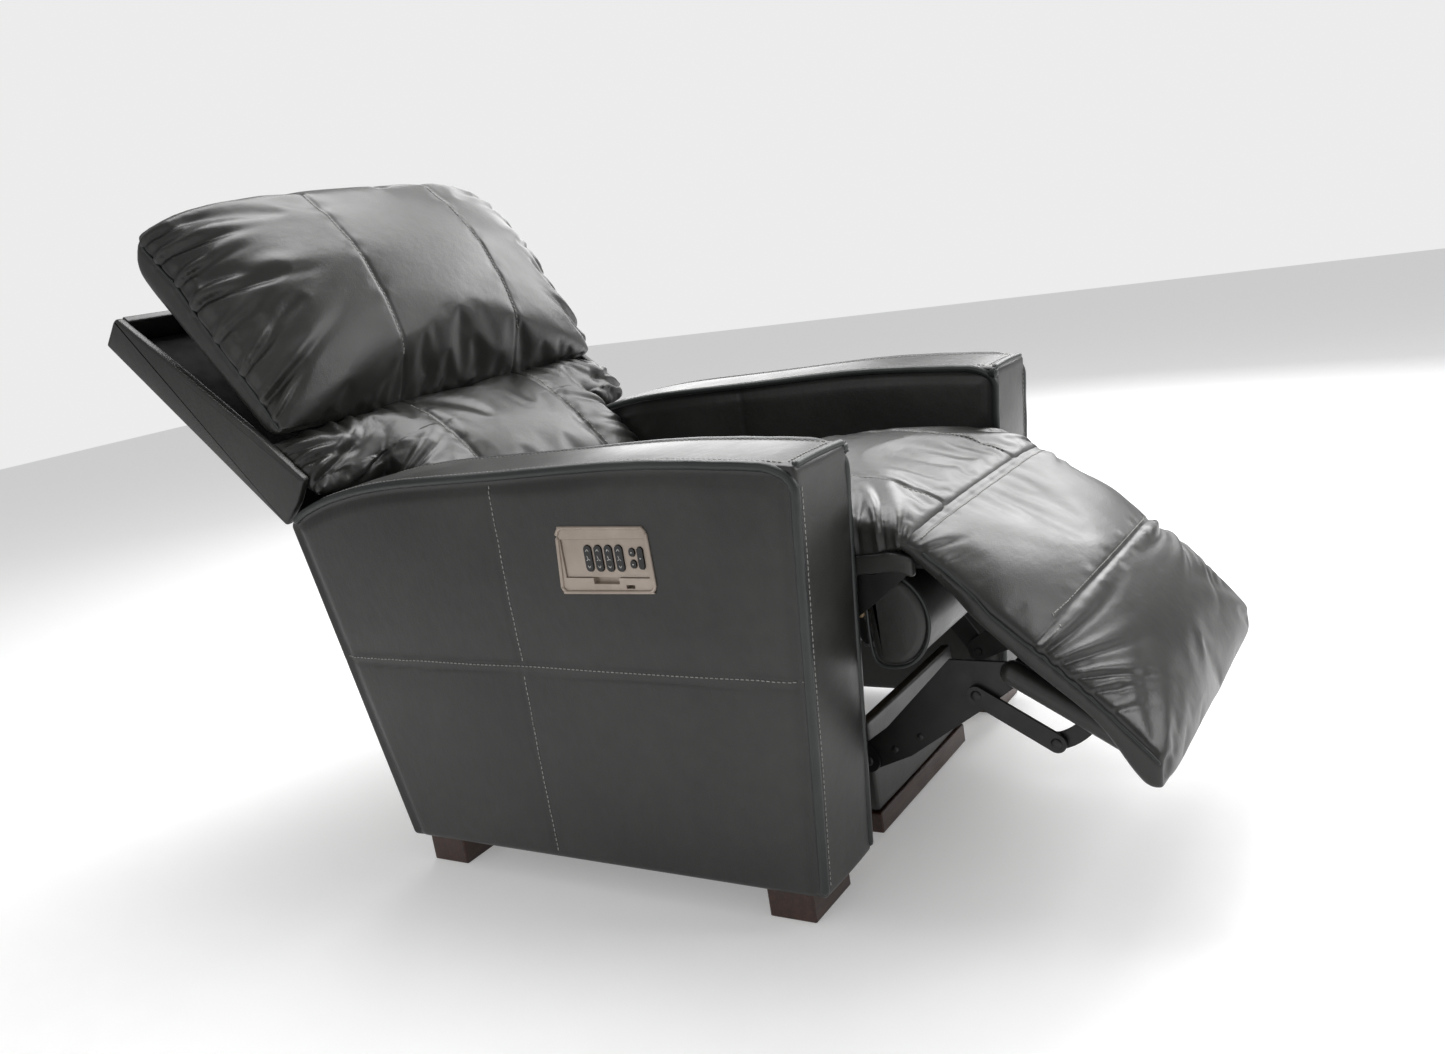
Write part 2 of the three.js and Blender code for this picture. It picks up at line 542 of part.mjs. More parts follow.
// The headrest turns on its bracket; +Y runs up along its plate.
const headrest = new THREE.Group();
headrest.position.set(0, ...HEAD_PIVOT);
headrest.rotation.x = HEAD_TILT;
back.add(headrest);
const headPins = [-1, 1].map((side) => barX(PIN, layer(side, [220, 237]), [0, 0]));
const headBoard = block([-224, 224], [-8, 330], [-6, 6]);
addPiece(headrest, 'headrest_plate', join(headBoard, ...headPins), BOARD);
const headSide = outline([
  [26, 7], [14, 22], [-10, 30], [-14, 46], [10, 86], [50, 124], [120, 158], [200, 170], [280, 160],
  [345, 130], [372, 90], [376, 50], [360, 20], [340, 7],
]);
addPiece(headrest, 'head_cushion', sideView(headSide, [-398, 398]), LEATHER);

// ---------------------------------------------------------------- frame
// The origin is on the floor, under the middle of the open chair.
const extent = new THREE.Box3().setFromObject(armchair, true);
armchair.position.y = -(extent.min.y + extent.max.y) / 2;

export default armchair;
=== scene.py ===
# %% [markdown]
# # Power recliner armchair
# The frame holds every hard part of the chair: plates, links, motors, feet and the control dock.
# This lesson puts the upholstery on it. Leather over foam is a soft surface with seams, welts and
# gathers, so each cover is worked out as a surface, filled by cloth simulation where it is a cushion,
# and then sewn: grooves where seams pull it in, and a thread of real stitches along them.

# %% Load the frame
import json
import math

import bmesh
import bpy
import numpy as np
from mathutils import Matrix, Vector
from mathutils.bvhtree import BVHTree


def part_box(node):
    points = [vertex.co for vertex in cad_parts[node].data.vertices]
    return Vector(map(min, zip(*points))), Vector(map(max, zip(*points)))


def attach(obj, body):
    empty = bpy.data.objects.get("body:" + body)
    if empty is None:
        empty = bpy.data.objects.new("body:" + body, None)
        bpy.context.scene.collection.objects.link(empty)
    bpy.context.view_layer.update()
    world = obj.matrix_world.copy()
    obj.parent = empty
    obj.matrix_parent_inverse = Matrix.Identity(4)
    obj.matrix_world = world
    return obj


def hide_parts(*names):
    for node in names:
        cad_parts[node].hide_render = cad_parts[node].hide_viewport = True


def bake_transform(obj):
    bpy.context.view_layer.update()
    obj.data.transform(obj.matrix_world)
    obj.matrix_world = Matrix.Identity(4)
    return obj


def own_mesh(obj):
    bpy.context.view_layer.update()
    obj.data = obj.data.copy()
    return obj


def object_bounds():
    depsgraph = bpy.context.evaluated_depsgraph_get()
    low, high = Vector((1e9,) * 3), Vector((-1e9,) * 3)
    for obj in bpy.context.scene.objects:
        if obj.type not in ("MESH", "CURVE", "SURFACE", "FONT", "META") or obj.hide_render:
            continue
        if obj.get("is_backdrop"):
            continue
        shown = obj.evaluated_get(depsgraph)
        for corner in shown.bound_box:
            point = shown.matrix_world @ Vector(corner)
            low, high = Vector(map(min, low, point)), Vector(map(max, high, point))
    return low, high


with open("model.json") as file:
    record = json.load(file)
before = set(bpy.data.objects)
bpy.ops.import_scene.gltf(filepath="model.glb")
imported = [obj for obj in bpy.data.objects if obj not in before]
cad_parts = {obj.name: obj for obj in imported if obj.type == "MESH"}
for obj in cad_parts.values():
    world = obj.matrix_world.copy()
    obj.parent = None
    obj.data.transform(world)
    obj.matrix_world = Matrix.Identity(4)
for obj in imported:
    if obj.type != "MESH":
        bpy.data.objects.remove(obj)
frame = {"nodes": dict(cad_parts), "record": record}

cad_low, cad_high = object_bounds()
print("frame box", tuple(cad_low), tuple(cad_high))

# %% [markdown]
# ## Places on the chair
# A chair maker measures from the front of the arms and from the floor, in millimetres. The back and
# the footrest are turned, so each gets its own pair of directions: along it, and out of its padded face.
# Working in those directions keeps a cushion's section the same numbers however far the chair reclines.

# %% Three places to measure from
MM = 0.001
ARM_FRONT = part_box("right_arm_top_pad")[0].y / MM      # the arms' front edge, in the frame's y
HALF_WIDTH = cad_high.x / MM
ARM_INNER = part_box("left_arm_inner_panel")[0].x / MM
ARM_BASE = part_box("left_arm_outer_panel")[0].z / MM
BACK_SLOPE = math.radians(42.8)
FOOTREST_SLOPE = math.radians(43.6)
SHELL = 14.0                                           # thickness of the back's plywood
back_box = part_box("back_panel")
BACK_TOP = (back_box[1].y / MM - ARM_FRONT, back_box[1].z / MM - SHELL * math.cos(BACK_SLOPE))
pivots = {joint["name"]: np.array(joint["pos_m"]) / MM
          for joint in frame["record"]["behaviour"]["joints"] if "pos_m" in joint}
FOOTREST_HINGE = (pivots["footrest_swing"][1] - ARM_FRONT, pivots["footrest_swing"][2])


def at(x, y, z):
    """Points of the frame in metres, from x, y behind the arms' front and z above the floor, in mm."""
    x, y, z = np.broadcast_arrays(x, y, z)
    return np.stack([x, y + ARM_FRONT, z], axis=-1).reshape(-1, 3) * MM


def on_back(x, along, out):
    """Points on the back: along goes up the shell from its top edge, out goes forward of it."""
    y = BACK_TOP[0] + along * math.cos(BACK_SLOPE) - out * math.sin(BACK_SLOPE)
    z = BACK_TOP[1] + along * math.sin(BACK_SLOPE) + out * math.cos(BACK_SLOPE)
    return at(x, y, z)


def on_footrest(x, along, out):
    """Points on the footrest: along goes up it from its hinge, out goes out of its padded face."""
    y = FOOTREST_HINGE[0] + along * math.cos(FOOTREST_SLOPE) - out * math.sin(FOOTREST_SLOPE)
    z = FOOTREST_HINGE[1] + along * math.sin(FOOTREST_SLOPE) + out * math.cos(FOOTREST_SLOPE)
    return at(x, y, z)


print("back top", BACK_TOP, "footrest hinge", FOOTREST_HINGE)

# %% [markdown]
# ## Camera
# The camera stands low at the sitter's right, beside the front of the arm, and is tipped sideways a
# little, as a picture taken by hand is. Its place comes from the chair's own lines.

# %% Camera
CAMERA_PLACE = (-1.69437, -1.16922, 0.88580)
CAMERA_YAW = math.radians(56.76222)
CAMERA_PITCH = math.radians(12.66623)
CAMERA_ROLL = math.radians(-9.13717)

ahead = Vector((math.sin(CAMERA_YAW) * math.cos(CAMERA_PITCH),
                math.cos(CAMERA_YAW) * math.cos(CAMERA_PITCH),
                -math.sin(CAMERA_PITCH)))
level_right = Vector((math.cos(CAMERA_YAW), -math.sin(CAMERA_YAW), 0))
level_up = level_right.cross(ahead)
right = level_right * math.cos(CAMERA_ROLL) + level_up * math.sin(CAMERA_ROLL)
up = level_up * math.cos(CAMERA_ROLL) - level_right * math.sin(CAMERA_ROLL)
camera = bpy.data.objects.new("camera", bpy.data.cameras.new("camera"))
camera.data.lens = 31.78
camera.data.sensor_width = 36
camera.data.clip_end = 60
camera.matrix_world = Matrix.Translation(CAMERA_PLACE) @ Matrix((right, up, -ahead)).transposed().to_4x4()
bpy.context.scene.collection.objects.link(camera)
bpy.context.scene.camera = camera
print("camera at", tuple(camera.location))

# %% [markdown]
# ## Light and floor
# Glossy leather shows the shape of what lights it, so the lights are large soft sheets: one overhead,
# one like a window beyond the chair, whose reflection lies on the cushions, a weaker one behind it for
# the arms' tops, one at the sitter's front, and a weak one beside the arm. The leather reflects a dim
# room, and only the view past the chair is pale.

# %% Lights and floor
def soft_light(name, place, target, size, power):
    """A square sheet of light at a place, turned to a target."""
    data = bpy.data.lights.new(name, "AREA")
    data.size = size
    data.energy = power
    lamp = bpy.data.objects.new(name, data)
    lamp.location = place
    lamp.rotation_euler = (Vector(target) - Vector(place)).to_track_quat("-Z", "Y").to_euler()
    bpy.context.scene.collection.objects.link(lamp)
    return lamp


soft_light("overhead", (0.6, 0.5, 2.7), (0, 0.1, 0.6), 1.7, 58)
soft_light("window", (2.9, -0.5, 2.2), (0, -0.1, 0.6), 2.1, 84)
soft_light("far window", (2.7, 1.9, 1.5), (0, 0.0, 0.6), 1.7, 26)
soft_light("front", (0.9, -2.8, 1.9), (0, -0.2, 0.5), 1.6, 36)
soft_light("side", (-3.2, 0.4, 1.6), (-0.3, 0.1, 0.45), 2.2, 10)
ROOM, BACKDROP = 0.4, 0.84
world = bpy.data.worlds.new("studio")
world.use_nodes = True
seen = world.node_tree.nodes.new("ShaderNodeLightPath")
strength = world.node_tree.nodes.new("ShaderNodeMapRange")
strength.inputs["To Min"].default_value = ROOM
strength.inputs["To Max"].default_value = BACKDROP
world.node_tree.links.new(seen.outputs["Is Camera Ray"], strength.inputs["Value"])
surround = world.node_tree.nodes["Background"]
surround.inputs["Color"].default_value = (1, 1, 1, 1)
world.node_tree.links.new(strength.outputs["Result"], surround.inputs["Strength"])
bpy.context.scene.view_settings.view_transform = "Standard"
bpy.context.scene.world = world


# %% [markdown]
# ## Finishes
# Each finish is a tree of nodes on Object coordinates, so its pattern is the same size on every piece.
# The leather is a dyed hide: a cloudy two-tone colour, a roughness that drifts where it has been
# rubbed, a fine pebble grain and, over it, faint creases.

# %% A helper for node trees
class Finish:
    """A new material and a short way to add its nodes."""

    def __init__(self, name):
        self.material = bpy.data.materials.new(name)
        self.material.use_nodes = True
        self.tree = self.material.node_tree
        self.shader = self.tree.nodes["Principled BSDF"]
        self.where = self.add("ShaderNodeTexCoord").outputs["Object"]

    def add(self, kind, links=(), **values):
        """Adds a node, joins its named inputs to other nodes' outputs, and sets its values."""
        node = self.tree.nodes.new(kind)
        for name, value in values.items():
            if hasattr(node, name):
                setattr(node, name, value)
            else:
                node.inputs[name.replace("_", " ")].default_value = value
        for name, output in dict(links).items():
            self.tree.links.new(output, node.inputs[name])
        return node

    def noise(self, scale, detail=3.0, stretch=(1, 1, 1), roughness=0.5):
        """Cloudy noise, about 1 / scale metres across, stretched along the axes."""
        mapping = self.add("ShaderNodeMapping", {"Vector": self.where}, Scale=stretch)
        return self.add("ShaderNodeTexNoise", {"Vector": mapping.outputs[0]},
                        Scale=scale, Detail=detail, Roughness=roughness).outputs["Fac"]

    def ramp(self, value, low, high, colors):
        """Turns a value between low and high into a blend of colours."""
        node = self.add("ShaderNodeValToRGB", {"Fac": value})
        marks = np.linspace(low, high, len(colors))
        while len(node.color_ramp.elements) < len(colors):
            node.color_ramp.elements.new(0.5)
        for mark, place, color in zip(node.color_ramp.elements, marks, colors):
            mark.position = place
            mark.color = (*color, 1)
        return node.outputs["Color"]

    def range(self, value, low, high, from_low=0.3, from_high=0.7):
        """Maps a value from one range to another."""
        return self.add("ShaderNodeMapRange", {"Value": value}, From_Min=from_low, From_Max=from_high,
                        To_Min=low, To_Max=high).outputs["Result"]

    def bump(self, height, distance, strength=1.0, over=None):
        """A bump of that height in metres, laid over another bump."""
        links = {"Height": height}
        if over is not None:
            links["Normal"] = over
        return self.add("ShaderNodeBump", links, Distance=distance, Strength=strength).outputs["Normal"]

    def set(self, color=None, roughness=None, normal=None, **plain):
        """Joins the patterns to the shader, and sets what is the same all over on its sockets."""
        for name, output in (("Base Color", color), ("Roughness", roughness), ("Normal", normal)):
            if output is not None:
                self.tree.links.new(output, self.shader.inputs[name])
        for name, value in plain.items():
            self.shader.inputs[name.replace("_", " ")].default_value = value
        return self.material


# %% Leather, thread, steel, wood and plastic
def make_leather(name, dark, light, rough):
    """Dyed hide: two-tone clouds, pebble grain of about 1.5 mm and soft creases of about 20 mm."""
    f = Finish(name)
    clouds = f.noise(3.4, 4.0, roughness=0.55)
    middle = tuple((a + b) / 2 for a, b in zip(dark, light))
    color = f.ramp(clouds, 0.36, 0.66, [dark, middle, light])
    mottle = f.range(f.noise(38.0, 3.0), 0.88, 1.1)
    shade = f.add("ShaderNodeMix", data_type="RGBA", blend_type="MULTIPLY")
    shade.inputs["Factor"].default_value = 1.0
    f.tree.links.new(color, shade.inputs[6])
    f.tree.links.new(mottle, shade.inputs[7])
    roughness = f.range(f.noise(7.0, 4.0), rough[0], rough[1])
    creases = f.bump(f.noise(46.0, 5.0, stretch=(1, 1.6, 1), roughness=0.6), 0.0011, 0.55)
    pebbles = f.add("ShaderNodeTexVoronoi", {"Vector": f.where}, Scale=620.0, Randomness=1.0)
    grain = f.bump(pebbles.outputs["Distance"], 0.00022, 0.5, over=creases)
    return f.set(shade.outputs[2], roughness, grain, Coat_Weight=0.06, Coat_Roughness=0.35)


def make_thread():
    """Waxed thread: pale grey with a fine twist across it."""
    f = Finish("thread")
    color = f.ramp(f.noise(260.0, 2.0), 0.3, 0.7, [(0.22, 0.22, 0.21), (0.4, 0.4, 0.38)])
    return f.set(color, None, f.bump(f.noise(2400.0, 1.0), 0.0002, 0.5), Roughness=0.65)


def make_paint(name, color, lighter, rough, metallic=0.0, grain=90.0):
    """Paint or moulded plastic: nearly one colour, with rubbed patches and a fine surface texture."""
    f = Finish(name)
    shade = f.ramp(f.noise(22.0, 4.0), 0.35, 0.7, [color, lighter])
    roughness = f.range(f.noise(34.0, 3.0), rough[0], rough[1])
    return f.set(shade, roughness, f.bump(f.noise(grain * 10, 2.0), 0.00012, 0.4), Metallic=metallic)


def make_wood(name, dark, light, stretch, rough):
    """Wood: long streaks along the grain, and pores in the same direction."""
    f = Finish(name)
    color = f.ramp(f.noise(16.0, 6.0, stretch=stretch, roughness=0.65), 0.3, 0.72, [dark, light])
    pores = f.bump(f.noise(240.0, 3.0, stretch=stretch), 0.0003, 0.5)
    return f.set(color, f.range(f.noise(20.0), rough[0], rough[1]), pores)


HIDE_DARK = (0.0112, 0.0112, 0.0102)
HIDE_LIGHT = (0.0265, 0.0265, 0.0248)
leather = make_leather("leather", HIDE_DARK, HIDE_LIGHT, (0.31, 0.46))
leather_trim = make_leather("leather_trim", (0.010, 0.012, 0.0125), (0.024, 0.027, 0.027), (0.32, 0.5))
thread = make_thread()
black_steel = make_paint("black_steel", (0.0045, 0.0045, 0.0045), (0.011, 0.0105, 0.010),
                         (0.34, 0.52), 0.1)
zinc_steel = make_paint("zinc_steel", (0.32, 0.32, 0.33), (0.5, 0.5, 0.5), (0.22, 0.42), 1.0)
timber = make_wood("timber", (0.016, 0.006, 0.0035), (0.06, 0.02, 0.01), (1, 9, 9), (0.28, 0.45))
plywood = make_wood("board", (0.27, 0.18, 0.1), (0.46, 0.34, 0.21), (1, 8, 1), (0.6, 0.8))
satin_panel = make_paint("satin_panel", (0.36, 0.30, 0.25), (0.43, 0.365, 0.31), (0.3, 0.42), 0.35)
black_plastic = make_paint("black_plastic", (0.010, 0.010, 0.010), (0.017, 0.017, 0.017), (0.28, 0.42))
lining = make_paint("lining", (0.008, 0.008, 0.008), (0.016, 0.016, 0.016), (0.8, 0.95), grain=60.0)
ink = make_paint("white_print", (0.62, 0.62, 0.6), (0.72, 0.72, 0.7), (0.5, 0.6))
pale_floor = make_paint("pale_floor", (0.82, 0.82, 0.82), (0.85, 0.85, 0.85), (0.7, 0.8))
FLOOR_GLOW = 0.26                                      # keeps the floor pale away from the lights
floor_glow = pale_floor.node_tree.nodes["Principled BSDF"].inputs
floor_glow["Emission Color"].default_value = (1, 1, 1, 1)
floor_glow["Emission Strength"].default_value = FLOOR_GLOW
FINISHES = {"leather": leather, "black_steel": black_steel, "zinc_steel": zinc_steel, "timber": timber,
            "board": plywood, "satin_panel": satin_panel, "black_plastic": black_plastic}
print("finishes", len(bpy.data.materials))

# %% [markdown]
# ## From arrays to pieces
# Every surface here is a grid of points, a function of two numbers, so one helper can join the grid's
# neighbours with four-sided faces, and another can hand points and faces to the mesh in one go.

# %% Grids and pieces
def grid_faces(rows, columns, closed_columns=False):
    """Four-sided faces of a rows by columns grid of points, closed on itself across if asked."""
    row = np.arange(rows - 1)[:, None]
    column = np.arange(columns if closed_columns else columns - 1)[None, :]
    following = (column + 1) % columns
    here = row * columns
    return np.stack([here + column, here + following, here + columns + following, here + columns + column],
                    axis=-1).reshape(-1, 4)


def new_piece(name, points, faces, finish, angle=None):
    """A smooth-shaded object from points in metres, welded where they meet, with its faces turned out."""
    mesh = bpy.data.meshes.new(name)
    mesh.from_pydata(np.asarray(points, float).tolist(), [], [list(map(int, face)) for face in faces])
    shape = bmesh.new()
    shape.from_mesh(mesh)
    bmesh.ops.remove_doubles(shape, verts=shape.verts, dist=2e-6)
    bmesh.ops.dissolve_degenerate(shape, edges=shape.edges, dist=1e-6)
    bmesh.ops.recalc_face_normals(shape, faces=shape.faces)
    shape.to_mesh(mesh)
    shape.free()
    mesh.materials.append(finish)
    mesh.shade_smooth()
    if angle is not None:
        mesh.set_sharp_from_angle(angle=math.radians(angle))
    piece = bpy.data.objects.new(name, mesh)
    bpy.context.scene.collection.objects.link(piece)
    return piece


def settle(piece):
    """Turns a piece's modifiers into plain mesh."""
    evaluated = piece.evaluated_get(bpy.context.evaluated_depsgraph_get())
    mesh = bpy.data.meshes.new_from_object(evaluated)
    piece.modifiers.clear()
    piece.data = mesh
    mesh.shade_smooth()
    return piece


def points_of(mesh, attribute="co"):
    """A mesh's points, or their normals, as an array."""
    values = np.empty(len(mesh.vertices) * 3)
    mesh.vertices.foreach_get(attribute, values)
    return values.reshape(-1, 3)


def put_points(piece, points):
    """Moves a piece's points to the places in an array."""
    piece.data.vertices.foreach_set("co", points.ravel())
    piece.data.update()


def smooth_path(marks, count, closed=False):
    """A smooth curve through marks (Catmull-Rom), cut into count points an even distance apart."""
    marks = np.asarray(marks, float)
    if closed:
        padded = np.concatenate([marks[-1:], marks, marks[:2]])
    else:
        padded = np.concatenate([2 * marks[:1] - marks[1:2], marks, 2 * marks[-1:] - marks[-2:-1]])
    a, b, c, d = (padded[i:len(padded) - 3 + i, None, :] for i in range(4))
    t = np.linspace(0, 1, 24, endpoint=False)[None, :, None]
    curve = 0.5 * (2 * b + (c - a) * t + (2 * a - 5 * b + 4 * c - d) * t ** 2
                   + (3 * b - a - 3 * c + d) * t ** 3)
    curve = np.concatenate([curve.reshape(-1, marks.shape[1]), marks[:1] if closed else marks[-1:]])
    travel = np.concatenate([[0], np.cumsum(np.linalg.norm(np.diff(curve, axis=0), axis=1))])
    places = np.linspace(0, travel[-1], count, endpoint=not closed)
    return np.stack([np.interp(places, travel, curve[:, k]) for k in range(marks.shape[1])], axis=-1)


def bell(distance, width):
    """A smooth hump of height 1 that fades over a width."""
    return np.exp(-(distance / width) ** 2)


# %% A box with round edges
def edge_steps(half, radius, step):
    """Places from -half to half: even steps in the middle and finer ones over the round edges."""
    turn = np.linspace(0, np.pi / 2, 5)[1:]
    edge = half - radius + radius * np.sin(turn)
    middle = np.linspace(-(half - radius), half - radius, max(2, int(2 * (half - radius) / step) + 1))
    return np.concatenate([-edge[::-1], middle, edge])


def soft_box(half, radius, step):
    """The skin of a box: each point of its six flat faces is pulled to a radius from an inner box."""
    half = np.asarray(half, float)
    steps = [edge_steps(h, radius, step) for h in half]
    points, faces, start = [], [], 0
    for axis in range(3):
        first, second = [k for k in range(3) if k != axis]
        a, b = np.meshgrid(steps[first], steps[second], indexing="ij")
        for side in (-1, 1):
            sheet = np.zeros((a.size, 3))
            sheet[:, axis] = side * half[axis]
            sheet[:, first] = a.ravel()
            sheet[:, second] = b.ravel()
            points.append(sheet)
            faces.append(grid_faces(*a.shape) + start)
            start += a.size
    points = np.concatenate(points)
    inner = np.clip(points, -(half - radius), half - radius)
    away = points - inner
    points = inner + radius * away / np.maximum(np.linalg.norm(away, axis=1, keepdims=True), 1e-9)
    return points, np.concatenate(faces)


# %% A tube along a path, for welts and piping
def tube(path, radius, facing, sides=10):
    """A round cord's skin: a circle carried along the path, narrowed to a dome at both ends."""
    tangent = np.gradient(path, axis=0)
    tangent /= np.linalg.norm(tangent, axis=1, keepdims=True)
    across = facing - (tangent * facing).sum(axis=1, keepdims=True) * tangent
    across /= np.linalg.norm(across, axis=1, keepdims=True)
    over = np.cross(tangent, across)
    travel = np.concatenate([[0], np.cumsum(np.linalg.norm(np.diff(path, axis=0), axis=1))])
    to_end = np.minimum(travel, travel[-1] - travel)
    narrowing = np.sqrt(np.clip(1 - (1 - np.clip(to_end / radius, 0, 1)) ** 2, 0.02, 1))
    turn = np.linspace(0, 2 * np.pi, sides, endpoint=False)
    ring = np.cos(turn)[None, :, None] * across[:, None] + np.sin(turn)[None, :, None] * over[:, None]
    points = path[:, None] + radius * narrowing[:, None, None] * ring
    faces = [*grid_faces(len(path), sides, True), range(sides),
             range((len(path) - 1) * sides, len(path) * sides)]
    return points.reshape(-1, 3), faces


def tubes(name, runs, finish):
    """Several tubes as one piece; each run is a path, a radius and the way the tube faces."""
    points, faces, start = [], [], 0
    for path, radius, facing in runs:
        p, f = tube(path, radius, np.asarray(facing, float))
        faces += [[i + start for i in face] for face in f]
        points.append(p)
        start += len(p)
    return new_piece(name, np.concatenate(points), faces, finish)


def piping_on(name, rows, cover, radius=2.2):
    """Piping sewn into a cover: each row is laid on its nearest points, evened out and made a cord."""
    tree = BVHTree.FromObject(cover, bpy.context.evaluated_depsgraph_get())
    runs = []
    for row in rows:
        found = [tree.find_nearest(Vector(p)) for p in row]
        on = np.array([f[0] for f in found])
        out = np.array([f[1] for f in found]).mean(axis=0)
        padded = np.pad(on, ((3, 3), (0, 0)), mode="edge")
        even = sum(padded[k:k + len(on)] for k in range(7)) / 7
        runs.append((smooth_path(even, 2 * len(even)), radius * MM, out / np.linalg.norm(out)))
    return tubes(name, runs, leather_trim)


# %% Stitches
STITCH = 5.2 * MM
STITCH_GAP = 2.4 * MM
THREAD_RADIUS = 0.8 * MM


def stitch_rows(name, rows, cover):
    """Sewn rows: short capsules an even distance apart, each laid on the cover along its row."""
    tree = BVHTree.FromObject(cover, bpy.context.evaluated_depsgraph_get())
    turn = np.linspace(0, 2 * np.pi, 6, endpoint=False)
    lengthwise = np.repeat([-0.5, -0.36, 0.36, 0.5], 6) * STITCH
    thickness = np.repeat([0.25, 1.0, 1.0, 0.25], 6) * THREAD_RADIUS
    turns = np.tile(turn, 4)
    faces_of_one = [*grid_faces(4, 6, True), range(6), range(18, 24)]
    points, faces, start = [], [], 0
    for row in rows:
        travel = np.concatenate([[0], np.cumsum(np.linalg.norm(np.diff(row, axis=0), axis=1))])
        places = np.arange(STITCH, travel[-1] - STITCH, STITCH + STITCH_GAP)
        line = np.stack([np.interp(places, travel, row[:, k]) for k in range(3)], axis=-1)
        found = [tree.find_nearest(Vector(p)) for p in line]
        on = np.array([f[0] for f in found])
        out = np.array([f[1] for f in found])
        along = np.gradient(on, axis=0)
        along -= (along * out).sum(axis=1, keepdims=True) * out
        along /= np.maximum(np.linalg.norm(along, axis=1, keepdims=True), 1e-9)
        side = np.cross(out, along)
        centre = on + out * THREAD_RADIUS * 0.4
        capsule = (centre[:, None] + lengthwise[None, :, None] * along[:, None]
                   + (thickness * np.cos(turns))[None, :, None] * side[:, None]
                   + (thickness * np.sin(turns))[None, :, None] * out[:, None])
        points.append(capsule.reshape(-1, 3))
        for k in range(len(line)):
            faces += [[i + start + 24 * k for i in face] for face in faces_of_one]
        start += 24 * len(line)
    piece = new_piece(name, np.concatenate(points), faces, thread)
    print(name, start // 24, "stitches")
    return piece


# %% [markdown]
# ## Cushions
# A cushion is two sheets of leather sewn together round a side seam. Seen from the side it has a
# section; going towards its ends the section closes on the seam. That gives a crowned form already.
# Cloth simulation then fills it with pressure: the leather is cut slightly too large, so it gathers where
# it is sewn down, which is what makes the folds beside a real seam. The larger folds are placed one by
# one, because a real cushion gathers at a few places and is smooth between them.

# %% The pillow form and the filling
def pillow(section, seam, half_width, crown=(3.0, 2.2), under=(8.0, 3.0), shrink=0.05,
           across=64, around=150):
    """A pillow's points in its own x, along and out, as (x, along, out).

    The section is a closed outline. At a place x across, the part of it above the seam line keeps
    (1 - |x / half|^p)^(1 / q) of its height over the seam, and the part below does so with its own p, q.
    """
    x = half_width * np.sin(np.linspace(-np.pi / 2, np.pi / 2, across))
    outline = smooth_path(section, around, closed=True)
    seam = np.asarray(seam, float)
    seam_out = np.interp(outline[:, 0], seam[:, 0], seam[:, 1])
    reach = np.clip(1 - np.abs(x / half_width)[:, None] ** np.array([crown[0], under[0]]), 0, 1)
    above, below = (reach[:, k:k + 1] ** (1 / (crown[1], under[1])[k]) for k in (0, 1))
    height = (outline[:, 1] - seam_out)[None, :]
    out = seam_out[None, :] + height * np.where(height > 0, above, below)
    middle = (outline[:, 0].max() + outline[:, 0].min()) / 2
    along = middle + (outline[:, 0] - middle)[None, :] * (1 - shrink * (1 - above))
    points = np.stack([np.broadcast_to(x[:, None], out.shape), along, out], axis=-1)
    last = (across - 1) * around
    faces = [*grid_faces(across, around, True), range(around), range(last, last + around)]
    return points.reshape(-1, 3), faces


def remesh(piece, voxel):
    """Rebuilds a piece from cubes of one size, which joins what overlaps and evens the mesh."""
    modifier = piece.modifiers.new("remesh", "REMESH")
    modifier.mode = "VOXEL"
    modifier.voxel_size = voxel
    return settle(piece)


def fill(piece, sewn, slack, cap, pressure=4.0, stiffness=14.0, frames=20):
    """Fills a closed cover with pressure. Sewn points are held; slack is how much too large it is cut."""
    start = points_of(piece.data)
    group = piece.vertex_groups.new(name="sewn")
    group.add(np.flatnonzero(sewn).tolist(), 1.0, "REPLACE")
    cloth = piece.modifiers.new("filling", "CLOTH")
    settings = cloth.settings
    settings.quality = 5
    settings.mass = 0.4
    settings.tension_stiffness = settings.compression_stiffness = 18
    settings.shear_stiffness = 8
    settings.bending_stiffness = stiffness
    settings.use_pressure = True
    settings.uniform_pressure_force = pressure
    settings.shrink_min = -slack
    settings.vertex_group_mass = "sewn"
    settings.effector_weights.gravity = 0
    cloth.collision_settings.use_collision = False
    cloth.point_cache.frame_start = 1
    cloth.point_cache.frame_end = frames
    for k in range(1, frames + 1):
        bpy.context.scene.frame_set(k)
    filled = piece.evaluated_get(bpy.context.evaluated_depsgraph_get())
    moved = points_of(filled.data) - start
    piece.modifiers.clear()
    piece.vertex_groups.clear()
    bpy.context.scene.frame_set(1)
    length = np.linalg.norm(moved, axis=1, keepdims=True)
    put_points(piece, start + moved * np.minimum(1, cap / np.maximum(length, 1e-9)))
    print(piece.name, "filled, moved up to", round(float(length.max() / MM), 1), "mm")
    return piece


def refine(piece):
    """One subdivision, made plain mesh, so that grooves and folds have points to move."""
    modifier = piece.modifiers.new("finer", "SUBSURF")
    modifier.levels = modifier.render_levels = 1
    return settle(piece)


def press(piece, depth):
    """Moves each point along its normal by a depth in mm, and takes it as the cover's final shape."""
    put_points(piece, points_of(piece.data) + points_of(piece.data, "normal") * (depth * MM)[:, None])
    piece.data.shade_smooth()
    return piece


def back_places(points):
    """x, along and out of points on the back, in mm: the way back from on_back."""
    x, y, z = (points / MM).T
    y = y - ARM_FRONT - BACK_TOP[0]
    z = z - BACK_TOP[1]
    return (x, y * math.cos(BACK_SLOPE) + z * math.sin(BACK_SLOPE),
            z * math.cos(BACK_SLOPE) - y * math.sin(BACK_SLOPE))


